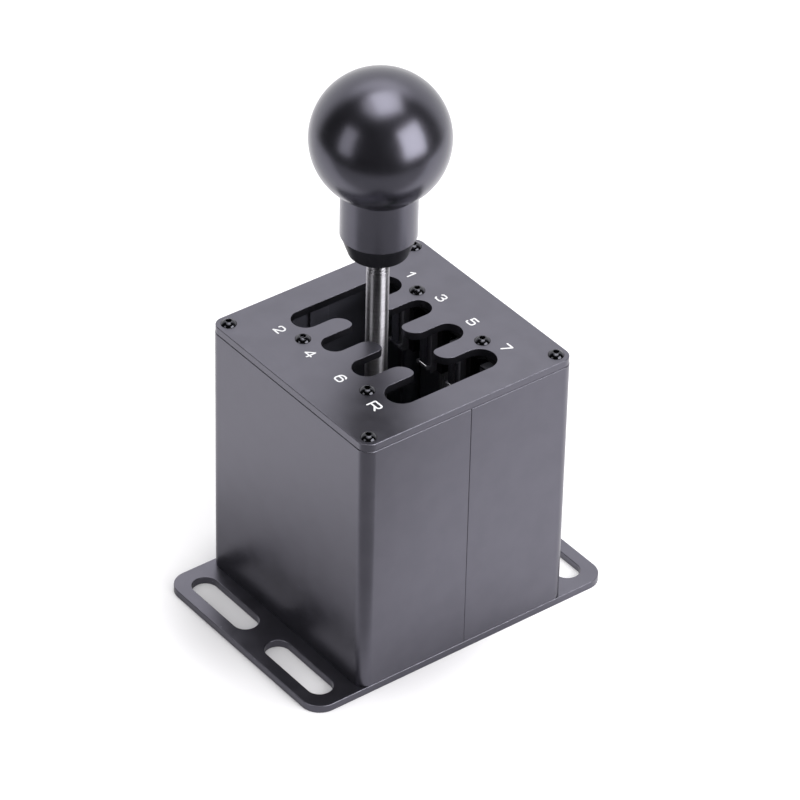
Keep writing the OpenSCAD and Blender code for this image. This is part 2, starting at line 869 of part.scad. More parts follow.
// Puts its children at switch k: gears 1, 3, 5, 7 in front, then 2, 4, 6 and R behind,
// with y pointing from the gate's middle towards the switch
module at_switch(k) {
    translate([switch_x(k % 4), gate_y, 0]) mirror([0, k < 4 ? 0 : 1, 0]) children();
}

// The two fixing holes of a switch, along X
module at_switch_holes() {
    for (n = [0, 1]) {
        translate([0, case_y + switch_d - hole_back, case_top - switch_h + hole_low + n * hole_pitch])
            children();
    }
}

// Case of a microswitch, with the lugs and pin of its lever strip and its three blades
module switch_case(k) {
    lug_w = min(switch_w / 2 - strip_w / 2 - 2 * run_gap, lug_most);
    low = case_top - switch_h;
    color(case_black) at_switch(k) difference() {
        union() {
            translate([-switch_w / 2, case_y, low]) cube([switch_w, switch_d, switch_h]);
            for (x = [-switch_w / 2, strip_w / 2 + 2 * run_gap]) {
                translate([x, hinge_y - eye_r, hinge_z - eye_r])
                    cube([lug_w, case_y - hinge_y + eye_r + bond, 2 * eye_r]);
            }
            translate([0, hinge_y, hinge_z]) rod_x(-switch_w / 2, strip_w / 2 + 0.5, hinge_pin_r);
            for (n = [0 : 2]) {
                translate([-blade_w / 2, case_y + switch_d - bond, low + blade_inset + n * blade_pitch])
                    cube([blade_w, blade_l + bond, blade_t]);
            }
        }
        at_switch_holes() rod_x(-switch_w, switch_w, m2_d / 2 + screw_gap / 2);
        translate([0, 0, hinge_z + press_h]) rod_y(case_y - 1, case_y + 1.6, press_r + screw_gap);
    }
}

// Lever strip with its rolled eye, and the small plunger that it presses
module switch_strip(k) {
    color(steel) at_switch(k) {
        difference() {
            union() {
                translate([-strip_w / 2, strip_y, hinge_z]) cube([strip_w, strip_t, strip_l]);
                translate([0, hinge_y, hinge_z]) rod_x(-strip_w / 2, strip_w / 2, eye_r);
            }
            translate([0, hinge_y, hinge_z]) rod_x(-strip_w, strip_w, hinge_pin_r + run_gap);
        }
        translate([0, 0, hinge_z + press_h]) rod_y(strip_y + strip_t, case_y + 1, press_r);
    }
}

module switch_screws() {
    color(screw_black) for (k = [0 : 7]) {
        at_switch(k) at_switch_holes() translate([-switch_w / 2, 0, 0]) rotate([0, -90, 0])
            button_screw(m2_d, m2_head_d, m2_head_h, switch_w + bracket_t, 1.3);
    }
}

// A comb under the gate plate: a flange, a fin beside each switch and two screw pads
module switch_bracket(side) {
    left = switch_x(0) - switch_w / 2 - bracket_t;
    right = switch_x(3) + switch_w / 2 + 2 * bracket_t;
    pad_r = m3_head_d / 2 + bracket_pad;
    fin_front = case_y + fin_step;
    fin_low = case_top - switch_h;
    color(case_black) difference() {
        union() {
            translate([0, gate_y, 0]) mirror([0, side > 0 ? 0 : 1, 0]) {
                translate([left, bracket_front, gate_low - bracket_t])
                    cube([right - left, bracket_d, bracket_t]);
                for (i = [0 : 3]) {
                    translate([switch_x(i) + switch_w / 2, fin_front, fin_low])
                        cube([bracket_t, bracket_front + bracket_d - fin_front, gate_low - fin_low]);
                }
            }
            for (x = inner_screw_xs) {
                translate([x, side * inner_screw_y, gate_low - bracket_t]) cylinder(h = bracket_t, r = pad_r);
            }
        }
        for (x = inner_screw_xs) {
            translate([x, side * inner_screw_y, gate_low - m3_len])
                cylinder(h = m3_len + 1, d = m3_d + 2 * thread_bite);
        }
        for (i = [0 : 3]) {
            at_switch(side > 0 ? i : i + 4) at_switch_holes()
                rod_x(0, switch_w / 2 + bracket_t + 1, m2_d / 2 + thread_bite);
        }
    }
}

module front_switch_bracket() {
    switch_bracket(1);
}

module rear_switch_bracket() {
    switch_bracket(-1);
}

module control_board() {
    color(board_green) difference() {
        union() {
            translate([-board_l / 2, board_rear, board_low]) cube([board_l, board_d, board_t]);
            translate([header_x - header_w / 2, front_header_y() - header_d / 2, board_top])
                cube([header_w, header_d, header_h]);
            translate([header_x - header_w / 2, board_rear, board_top])
                cube([header_w, header_d, rear_header_h]);
            translate([-chip_w / 2, board_rear + chip_inset, board_top]) cube([chip_w, chip_w, chip_h]);
            translate([chip_w / 2 + clock_gap, board_rear + chip_inset, board_top])
                cube([clock_w, clock_d, clock_h]);
        }
        at_standoffs() translate([0, 0, board_low - 1])
            cylinder(h = board_t + 2, d = m25_d + 2 * screw_gap);
    }
}

// The front cable comes straight down into its header
function front_header_y() = gate_y + harness_y + cable_t / 2;

module board_standoffs() {
    color(brass_tone) at_standoffs() difference() {
        translate([0, 0, floor_z]) cylinder(h = standoff_h, d = standoff_d);
        translate([0, 0, floor_z + 0.5]) cylinder(h = standoff_h, d = m25_d + 2 * thread_bite);
    }
}

module board_screws() {
    color(screw_black) at_standoffs() translate([0, 0, board_top])
        button_screw(m25_d, 4.4, 1.5, board_t + standoff_h - 1.4, 1.5);
}

module usb_socket() {
    mouth = housing_d / 2 - housing_wall - 0.2;
    color(steel) translate([socket_x, mouth - usb_l, board_top + usb_h / 2]) rotate([-90, 0, 0]) {
        linear_extrude(usb_l) difference() {
            long_slot(usb_w, usb_h);
            long_slot(usb_w - 2 * usb_wall, usb_h - 2 * usb_wall);
        }
        linear_extrude(usb_back_t) long_slot(usb_w - usb_wall, usb_h - usb_wall);
        linear_extrude(usb_l - usb_tongue_drop) square([usb_tongue_w, usb_tongue_t], center = true);
    }
}

// The bar of a flat cable that joins the blades of the four switches on one side
module cable_bar() {
    left = switch_x(0) - blade_w;
    right = switch_x(3) + blade_w;
    mid = case_top - switch_h / 2;
    translate([left, harness_y, mid - cable_w / 2]) cube([right - left, cable_t, cable_w]);
}

module front_flat_cable() {
    low = board_top + header_h;
    color(cable_grey) translate([0, gate_y, 0]) {
        cable_bar();
        translate([header_x - cable_w / 2, harness_y, low])
            cube([cable_w, cable_t, case_top - switch_h / 2 - low]);
    }
}

// A quarter bend of a flat cable round the X axis, of mean radius r, from +Y to +Z
module cable_bend(r) {
    rotate([90, 0, 90]) translate([0, 0, -cable_w / 2]) rotate_extrude(angle = 90)
        translate([r - cable_t / 2, 0]) square([cable_t, cable_w]);
}

module rear_flat_cable() {
    entry_z = board_top + rear_header_h / 2;
    run_z = floor_z + cable_t / 2;
    rise_r = (entry_z - run_z) / 2;
    drop_r = 3;
    back_y = gate_y - harness_y - cable_t / 2;
    rise_y = board_rear - 2 * rise_r - 1;
    color(cable_grey) {
        translate([0, gate_y, 0]) mirror([0, 1, 0]) cable_bar();
        translate([header_x, 0, 0]) {
            translate([-cable_w / 2, back_y - cable_t / 2, run_z + drop_r])
                cube([cable_w, cable_t, case_top - switch_h / 2 - run_z - drop_r]);
            translate([0, back_y + drop_r, run_z + drop_r]) rotate([180, 0, 0]) cable_bend(drop_r);
            translate([-cable_w / 2, back_y + drop_r, floor_z])
                cube([cable_w, rise_y - back_y - drop_r, cable_t]);
            translate([0, rise_y, run_z + rise_r]) rotate([-90, 0, 0]) cable_bend(rise_r);
            translate([0, rise_y + 2 * rise_r, run_z + rise_r]) rotate([90, 0, 0]) cable_bend(rise_r);
            translate([-cable_w / 2, rise_y + 2 * rise_r, entry_z - cable_t / 2])
                cube([cable_w, board_rear - rise_y - 2 * rise_r, cable_t]);
        }
    }
}

module lever_block() {
    half = block_w / 2;
    color(alloy) at_pivot() difference() {
        translate([0, block_d / 2, 0]) rotate([90, 0, 0]) linear_extrude(block_d) polygon([
            [-half, block_top],
            [half, block_top],
            [half, -block_drop * 0.5],
            [half * 0.5, -block_drop],
            [-half * 0.5, -block_drop],
            [-half, -block_drop * 0.5]
        ]);
        rod_y(-block_d, block_d, pin_d / 2 + bush_wall + seat_gap);
        translate([-block_w, -rod_d / 2 - side_gap, window_low])
            cube([2 * block_w, rod_d + 2 * side_gap, window_high - window_low]);
        translate([0, 0, socket_floor]) cylinder(h = block_top, r = shaft_d / 2 + seat_gap);
    }
}

module lever_bushes() {
    color(brass_tone) at_pivot() for (s = [0, 1]) {
        mirror([0, s, 0]) difference() {
            union() {
                rod_y(1, block_d / 2, pin_d / 2 + bush_wall);
                rod_y(block_d / 2, block_d / 2 + bush_flange_t, pin_d / 2 + bush_wall + bush_flange_w);
            }
            rod_y(0, block_d, pin_d / 2 + run_gap);
        }
    }
}

// Heights on the lever, above the pivot
ball_h = gate_top + ball_lift - pivot_z;
neck_low = ball_h - neck_drop;
knob_collar_low = neck_low - knob_collar_h;
insert_low = neck_low + 0.8;
shaft_bevel = 0.6;

module shift_shaft() {
    top = insert_low + insert_l - shaft_bevel;
    color(steel) at_pivot() rotate_extrude() polygon([
        [0, socket_floor],
        [shaft_d / 2, socket_floor],
        [shaft_d / 2, top - shaft_bevel],
        [shaft_d / 2 - shaft_bevel, top],
        [0, top]
    ]);
}

module shaft_lock_nut() {
    color(steel) at_pivot() translate([0, 0, block_top]) difference() {
        cylinder(h = nut_t, d = nut_af / cos(30), $fn = 6);
        translate([0, 0, -1]) cylinder(h = nut_t + 2, r = shaft_d / 2 + seat_gap);
    }
}

module knob_collar() {
    low_r = knob_collar_low_d / 2;
    color(edge_black) at_pivot() translate([0, 0, knob_collar_low]) rotate_extrude() difference() {
        union() {
            polygon([
                [0, 0],
                [low_r - knob_collar_r, 0],
                [low_r, knob_collar_r],
                [knob_collar_d / 2, knob_collar_h],
                [0, knob_collar_h]
            ]);
            intersection() {
                translate([low_r - knob_collar_r, knob_collar_r]) circle(knob_collar_r);
                translate([low_r - knob_collar_r, 0]) square(knob_collar_r);
            }
        }
        square([2 * (shaft_d / 2 + seat_gap), 4 * knob_collar_h], center = true);
    }
}

module shift_knob() {
    color(anodised) at_pivot() difference() {
        rotate_extrude() {
            intersection() {
                translate([0, ball_h]) circle(ball_d / 2);
                translate([0, ball_h - ball_d]) square([ball_d, 2 * ball_d]);
            }
            polygon([
                [0, neck_low],
                [neck_d / 2 - neck_bevel, neck_low],
                [neck_d / 2, neck_low + neck_bevel],
                [neck_d / 2, ball_h],
                [0, ball_h]
            ]);
        }
        translate([0, 0, neck_low - 1]) cylinder(h = insert_l + 3, r = insert_d / 2 + seat_gap);
    }
}

module knob_insert() {
    color(brass_tone) at_pivot() difference() {
        translate([0, 0, insert_low]) cylinder(h = insert_l, d = insert_d);
        translate([0, 0, insert_low - 1]) cylinder(h = insert_l + 2, r = shaft_d / 2 + seat_gap);
    }
}

base_plate();
rear_housing();
front_housing();
gate_plate();
gate_screws();
housing_screws();
left_bearing_block();
right_bearing_block();
floor_screws();
bearing_outer_races();
bearing_balls();
bearing_inner_races();
trunnions();
trunnion_spacers();
retaining_clips();
gimbal_frame();
select_pin();
spring_guide_rod();
left_centring_spring();
right_centring_spring();
detent_sector();
detent_leaf_spring();
detent_screws();
front_switch_bracket();
rear_switch_bracket();
switch_screws();
for (k = [0 : 7]) {
    switch_case(k);
    switch_strip(k);
}
control_board();
board_standoffs();
board_screws();
usb_socket();
front_flat_cable();
rear_flat_cable();
lever_block();
lever_bushes();
shift_shaft();
shaft_lock_nut();
knob_collar();
shift_knob();
knob_insert();
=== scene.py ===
"""Looks of a desktop H-pattern gear shifter, built round its packed construction model.

Sizes are millimetres in the model's own frame: +Z up, +Y forward, +X to the driver's right, with
the origin in the middle of the underside of the base plate. They become metres where a mesh is made.
"""
import json
import logging
import math
from dataclasses import dataclass, field
from enum import Enum

import bmesh
import bpy
import numpy as np
from mathutils import Matrix, Vector
from mathutils.geometry import tessellate_polygon


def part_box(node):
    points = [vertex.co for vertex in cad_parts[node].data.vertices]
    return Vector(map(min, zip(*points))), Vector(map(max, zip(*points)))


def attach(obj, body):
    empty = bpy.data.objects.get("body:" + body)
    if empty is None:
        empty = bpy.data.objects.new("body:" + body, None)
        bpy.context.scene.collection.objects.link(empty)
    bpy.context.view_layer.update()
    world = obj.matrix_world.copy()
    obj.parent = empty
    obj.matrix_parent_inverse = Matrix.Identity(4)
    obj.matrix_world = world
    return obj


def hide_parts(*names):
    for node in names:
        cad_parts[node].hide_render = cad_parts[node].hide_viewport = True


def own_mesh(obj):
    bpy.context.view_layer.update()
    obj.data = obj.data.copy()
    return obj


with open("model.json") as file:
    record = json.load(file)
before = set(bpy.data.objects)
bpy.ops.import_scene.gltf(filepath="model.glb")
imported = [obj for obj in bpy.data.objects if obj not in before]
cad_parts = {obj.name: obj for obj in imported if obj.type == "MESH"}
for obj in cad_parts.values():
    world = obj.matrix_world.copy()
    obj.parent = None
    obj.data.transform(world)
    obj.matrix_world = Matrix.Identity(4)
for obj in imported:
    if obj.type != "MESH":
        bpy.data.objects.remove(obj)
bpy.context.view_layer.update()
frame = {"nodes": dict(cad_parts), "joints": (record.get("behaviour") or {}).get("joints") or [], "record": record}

MM = 0.001
BODY_OF = {node: body for body, nodes in frame["record"]["behaviour"]["bodies"].items() for node in nodes}
PIVOT = np.array(next(j["pos_m"] for j in frame["joints"] if j["name"] == "shift")) / MM
GEARS = ("1", "3", "5", "7", "2", "4", "6", "r")
CORNER_INSET = 4.7    # from a wall's outer side to the middle of a corner screw
NEARLY = 0.9999    # share of a round end's radius, which keeps its two corners apart
POLE_R = 1e-6    # a profile's end this near the axis closes in a pole
NO_AREA = 1e-9    # a triangle this small is left out
log = logging.getLogger("shifter")

Colour = tuple[float, float, float]
Triple = tuple[float, float, float]
Point = tuple[float, float]


def node_box(node: str) -> tuple[np.ndarray, np.ndarray]:
    """Lowest and highest corner of a construction node at rest, in millimetres.

    Args:
        node: Name of the node.

    Returns:
        The two corners as arrays of three numbers.
    """
    low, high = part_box(node)
    return np.array(low) / MM, np.array(high) / MM


@dataclass(frozen=True)
class Path:
    """A plane path: its points, and at each the unit normal on the right of its direction."""

    points: np.ndarray
    normals: np.ndarray

    def part(self, start: int, end: int) -> "Path":
        """The stretch of the path from point start up to point end."""
        return Path(self.points[start:end], self.normals[start:end])


def placed(points: np.ndarray, normals: np.ndarray, place: Matrix | None) -> tuple[np.ndarray, np.ndarray]:
    """Puts points and normals in place: both are turned, and the points are shifted too.

    Args:
        points: The points, in millimetres.
        normals: Their normals.
        place: The matrix, or None to leave both as they are.

    Returns:
        The points and normals in place.
    """
    if place is None:
        return points, normals
    rotation = np.array(place.to_3x3())
    return points @ rotation.T + np.array(place.translation), normals @ rotation.T


def filleted(corners: list[Point], radii: list[float], closed: bool = True, steps: int = 8) -> Path:
    """Rounds the corners of a plane path. Material lies on the left of its direction.

    With the right-hand normals n1 and n2 of the sides before and after a corner, an arc's centre is
    the corner minus the radius times (n1 + n2) / (1 + n1 . n2), or plus it where the path turns
    right, and the arc's points come from turning n1 to n2 in equal steps. A corner of radius 0
    lies on a smooth stretch and keeps one point with the middle normal.

    Args:
        corners: The corners in order.
        radii: The radius at each corner, 0 on a smooth stretch.
        closed: Whether the last corner joins the first.
        steps: Steps in each arc, an even number.

    Returns:
        The rounded path.
    """
    at = np.asarray(corners, float)
    radius = np.asarray(radii, float)
    after = np.roll(at, -1, 0) - at
    if not closed:
        after[-1] = after[-2]
    after /= np.linalg.norm(after, axis=1, keepdims=True)
    before = np.roll(after, 1, 0)
    if not closed:
        before[0] = after[0]
    n1 = np.stack([before[:, 1], -before[:, 0]], 1)
    n2 = np.stack([after[:, 1], -after[:, 0]], 1)
    turn = np.arctan2(before[:, 0] * after[:, 1] - before[:, 1] * after[:, 0], (before * after).sum(1))
    reach = np.where(turn >= 0, radius, -radius)
    centre = at - reach[:, None] * (n1 + n2) / (1 + (n1 * n2).sum(1))[:, None]
    angle = turn[:, None] * np.linspace(0, 1, steps + 1)
    across = np.stack([-n1[:, 1], n1[:, 0]], 1)
    normals = np.cos(angle)[..., None] * n1[:, None] + np.sin(angle)[..., None] * across[:, None]
    points = centre[:, None] + reach[:, None, None] * normals
    keep = (radius[:, None] > 0) | (np.arange(steps + 1) == steps // 2)
    return Path(points[keep], normals[keep])


def arc(centre: Point, radius: float, start: float, end: float, count: int) -> list[Point]:
    """Points of an arc, as corners for filleted().

    Args:
        centre: Middle of the arc.
        radius: Radius of the arc.
        start: First angle in degrees.
        end: Last angle in degrees.
        count: Number of points.

    Returns:
        The points, at centre + radius * (cos, sin) of equally spaced angles.
    """
    angle = np.radians(np.linspace(start, end, count))
    ring = np.stack([centre[0] + radius * np.cos(angle), centre[1] + radius * np.sin(angle)], 1)
    return [tuple(point) for point in ring.tolist()]


def circle_hole(x: float, y: float, radius: float, count: int = 40) -> Path:
    """A round hole: a circle run clockwise, so that the material is on its left.

    Args:
        x: Middle of the hole, along X.
        y: Middle of the hole, along Y.
        radius: Radius of the hole.
        count: Number of points.

    Returns:
        The circle, with normals that point to its middle.
    """
    angle = -np.linspace(0, 2 * math.pi, count, endpoint=False)
    out = np.stack([np.cos(angle), np.sin(angle)], 1)
    return Path(np.array([x, y]) + radius * out, -out)


def edge_profile(low: float, high: float, low_edge: float, high_edge: float) -> Path:
    """The upright side of a plate with rounded edges: (offset along the outline's normal, height).

    Args:
        low: Height of the underside.
        high: Height of the upper side.
        low_edge: Radius of the lower edge.
        high_edge: Radius of the upper edge.

    Returns:
        The profile from the underside's rim, where the offset is minus the radius, to the upper one.
    """
    corners = [(-2 * low_edge, low), (0, low), (0, high), (-2 * high_edge, high)]
    return filleted(corners, [0, low_edge, high_edge, 0], closed=False, steps=4).part(1, -1)


@dataclass
class Surface:
    """Points, normals, edge masks and faces of one mesh, in millimetres, gathered patch by patch."""

    points: list[np.ndarray] = field(default_factory=list)
    normals: list[np.ndarray] = field(default_factory=list)
    edges: list[np.ndarray] = field(default_factory=list)
    faces: list[np.ndarray] = field(default_factory=list)
    count: int = 0

    def add_points(
        self, points: np.ndarray, normals: np.ndarray, edge: np.ndarray | float = 0
    ) -> np.ndarray:
        """Adds points and returns their indices, shaped as the points are.

        Args:
            points: Array of points, whose last axis holds x, y and z.
            normals: Their unit normals.
            edge: How much each point lies on a rounded edge, from 0 to 1.

        Returns:
            The index of each point.
        """
        shape = points.shape[:-1]
        self.points.append(points.reshape(-1, 3))
        self.normals.append(normals.reshape(-1, 3))
        self.edges.append(np.broadcast_to(edge, shape).reshape(-1))
        index = self.count + np.arange(int(np.prod(shape))).reshape(shape)
        self.count += index.size
        return index

    def add_grid(self, index: np.ndarray, wrap_rows: bool = False, wrap_columns: bool = True) -> None:
        """Joins a grid of points with quads that face to the right of a row's rise.

        Args:
            index: Indices of the grid's points, by row and column.
            wrap_rows: Whether the last row joins the first.
            wrap_columns: Whether the last column joins the first.
        """
        rows = np.vstack([index, index[:1]]) if wrap_rows else index
        grid = np.hstack([rows, rows[:, :1]]) if wrap_columns else rows
        quads = np.stack([grid[:-1, :-1], grid[:-1, 1:], grid[1:, 1:], grid[1:, :-1]], -1)
        self.faces.append(quads.reshape(-1, 4))

    def sweep(
        self, outline: Path, profile: Path, turn: Matrix | None = None, wrap: bool = True
    ) -> np.ndarray:
        """Carries a profile along a plane outline.

        A point is the outline's point plus its normal times the profile's offset, raised to the
        profile's height, and its normal mixes the outline's normal and Z as the profile's does.

        Args:
            outline: The outline, with material on its left.
            profile: Offsets and heights, from the bottom up.
            turn: Matrix that places the result, or None.
            wrap: Whether the outline is closed.

        Returns:
            Indices of the points, by profile row and outline column.
        """
        offset, height = profile.points[:, 0, None, None], profile.points[:, 1]
        flat = outline.points[None] + outline.normals[None] * offset
        rise = np.broadcast_to(height[:, None, None], flat.shape[:2] + (1,))
        points = np.concatenate([flat, rise], -1)
        side = outline.normals[None] * profile.normals[:, 0, None, None]
        up = np.broadcast_to(profile.normals[:, 1, None, None], side.shape[:2] + (1,))
        normals = np.concatenate([side, up], -1)
        points, normals = placed(points, normals, turn)
        rounding = 2 * np.abs(profile.normals[:, 0] * profile.normals[:, 1])
        index = self.add_points(points, normals, np.broadcast_to(rounding[:, None], points.shape[:2]))
        self.add_grid(index, wrap_columns=wrap)
        return index

    def cap(self, rims: list[np.ndarray], facing: Triple) -> None:
        """Closes a flat face between an outer rim and the rims of its holes with triangles.

        Args:
            rims: Indices of the rims' points, the outer rim first.
            facing: Normal of the face.
        """
        every = np.concatenate(self.points)
        corners = np.array(tessellate_polygon([[Vector(p) for p in every[rim]] for rim in rims]))
        tris = np.concatenate(rims)[corners]
        a, b, c = every[tris[:, 0]], every[tris[:, 1]], every[tris[:, 2]]
        area = np.cross(b - a, c - a) @ np.array(facing, float)
        tris[area < 0] = tris[area < 0][:, ::-1]
        self.faces.append(tris[np.abs(area) > NO_AREA])

    def lathe(
        self, profile: Path, sides: int = 96, closed: bool = False, place: Matrix | None = None
    ) -> None:
        """Turns a profile of (radius, height) points round Z, with one point at each pole.

        Args:
            profile: The profile from the bottom up, with material on its left.
            sides: Points round the axis.
            closed: Whether the profile is a closed ring.
            place: Matrix that places the result, or None.
        """
        angle = np.linspace(0, 2 * math.pi, sides, endpoint=False)
        ring = np.stack([np.cos(angle), np.sin(angle)], -1)

        def spin(pair: np.ndarray) -> np.ndarray:
            """Carries (radius, height) pairs round the axis, by row and angle."""
            flat = pair[:, None, :1] * ring[None]
            return np.concatenate([flat, np.broadcast_to(pair[:, None, 1:], flat.shape[:2] + (1,))], -1)

        points, normals = placed(spin(profile.points), spin(profile.normals), place)
        first = not closed and profile.points[0, 0] < POLE_R
        last = not closed and profile.points[-1, 0] < POLE_R
        rows = slice(1 if first else 0, -1 if last else None)
        index = self.add_points(points[rows], normals[rows])
        self.add_grid(index, wrap_rows=closed)
        for pole, row, present in ((0, index[0], first), (-1, index[-1], last)):
            if present:
                tip = self.add_points(points[pole, :1], normals[pole, :1])[0]
                ends = (row, np.roll(row, -1)) if pole else (np.roll(row, -1), row)
                self.faces.append(np.stack([ends[0], ends[1], np.full_like(row, tip)], -1))

    def build(self, name: str, crease: float | None = None) -> bpy.types.Object:
        """Makes the object, in metres, with its own normals or with creases found by angle.

        Args:
            name: Name of the piece.
            crease: Angle in degrees past which an edge is sharp, or None to use the normals.

        Returns:
            The new object, linked to the scene.
        """
        mesh = bpy.data.meshes.new(name)
        faces = [face for patch in self.faces for face in patch.tolist()]
        mesh.from_pydata((np.concatenate(self.points) * MM).tolist(), [], faces)
        mesh.polygons.foreach_set("use_smooth", np.ones(len(mesh.polygons), bool))
        mask = mesh.attributes.new("edge", "FLOAT", "POINT")
        mask.data.foreach_set("value", np.concatenate(self.edges).astype(np.float32))
        mesh.update()
        if crease is None:
            mesh.normals_split_custom_set_from_vertices(np.concatenate(self.normals).tolist())
        else:
            mesh.set_sharp_from_angle(angle=math.radians(crease))
        piece = bpy.data.objects.new(name, mesh)
        bpy.context.scene.collection.objects.link(piece)
        return piece


class Graph:
    """Adds and joins the nodes of one node tree."""

    def __init__(self, tree: bpy.types.NodeTree) -> None:
        """Empties the tree and keeps it."""
        self.tree = tree
        tree.nodes.clear()

    def add(self, kind: str, sockets: dict | None = None, **settings: object) -> bpy.types.Node:
        """Adds a node.

        Args:
            kind: The node's type.
            sockets: Input names or numbers, each with a value or with the socket that feeds it.
            **settings: Properties of the node.

        Returns:
            The new node.
        """
        node = self.tree.nodes.new(kind)
        for key, value in settings.items():
            setattr(node, key, value)
        for key, value in (sockets or {}).items():
            if isinstance(value, bpy.types.NodeSocket):
                self.tree.links.new(value, node.inputs[key])
            else:
                node.inputs[key].default_value = value
        return node

    def sum(self, operation: str, first: object, second: object = 0.0) -> bpy.types.NodeSocket:
        """The result of a Math node with two inputs."""
        return self.add("ShaderNodeMath", {0: first, 1: second}, operation=operation).outputs[0]

    def ramp(
        self, value: object, low: float, high: float, bottom: float = 0, top: float = 1
    ) -> bpy.types.NodeSocket:
        """Carries value from low..high to bottom..top with a smooth step."""
        sockets = {"Value": value, "From Min": low, "From Max": high, "To Min": bottom, "To Max": top}
        return self.add("ShaderNodeMapRange", sockets, interpolation_type="SMOOTHSTEP").outputs["Result"]

    def mix(self, share: object, first: object, second: object) -> bpy.types.NodeSocket:
        """Mixes two colours.

        Args:
            share: Share of the second colour, from 0 to 1.
            first: The first colour.
            second: The second colour.

        Returns:
            The socket of the mixed colour.
        """
        first = (*first, 1) if isinstance(first, tuple) else first
        second = (*second, 1) if isinstance(second, tuple) else second
        return self.add("ShaderNodeMix", {0: share, 6: first, 7: second}, data_type="RGBA").outputs[2]

    def noise(self, vector: object, scale: object, detail: float = 2) -> bpy.types.NodeSocket:
        """The value of a Noise texture."""
        sockets = {"Vector": vector, "Scale": scale, "Detail": detail}
        return self.add("ShaderNodeTexNoise", sockets).outputs[0]


class Effect(Enum):
    """The surface effects that several finishes share."""

    GRAIN = "blasted_grain"
    LINES = "drawn_lines"
    WEAR = "edge_wear"
    DUST = "dust_specks"


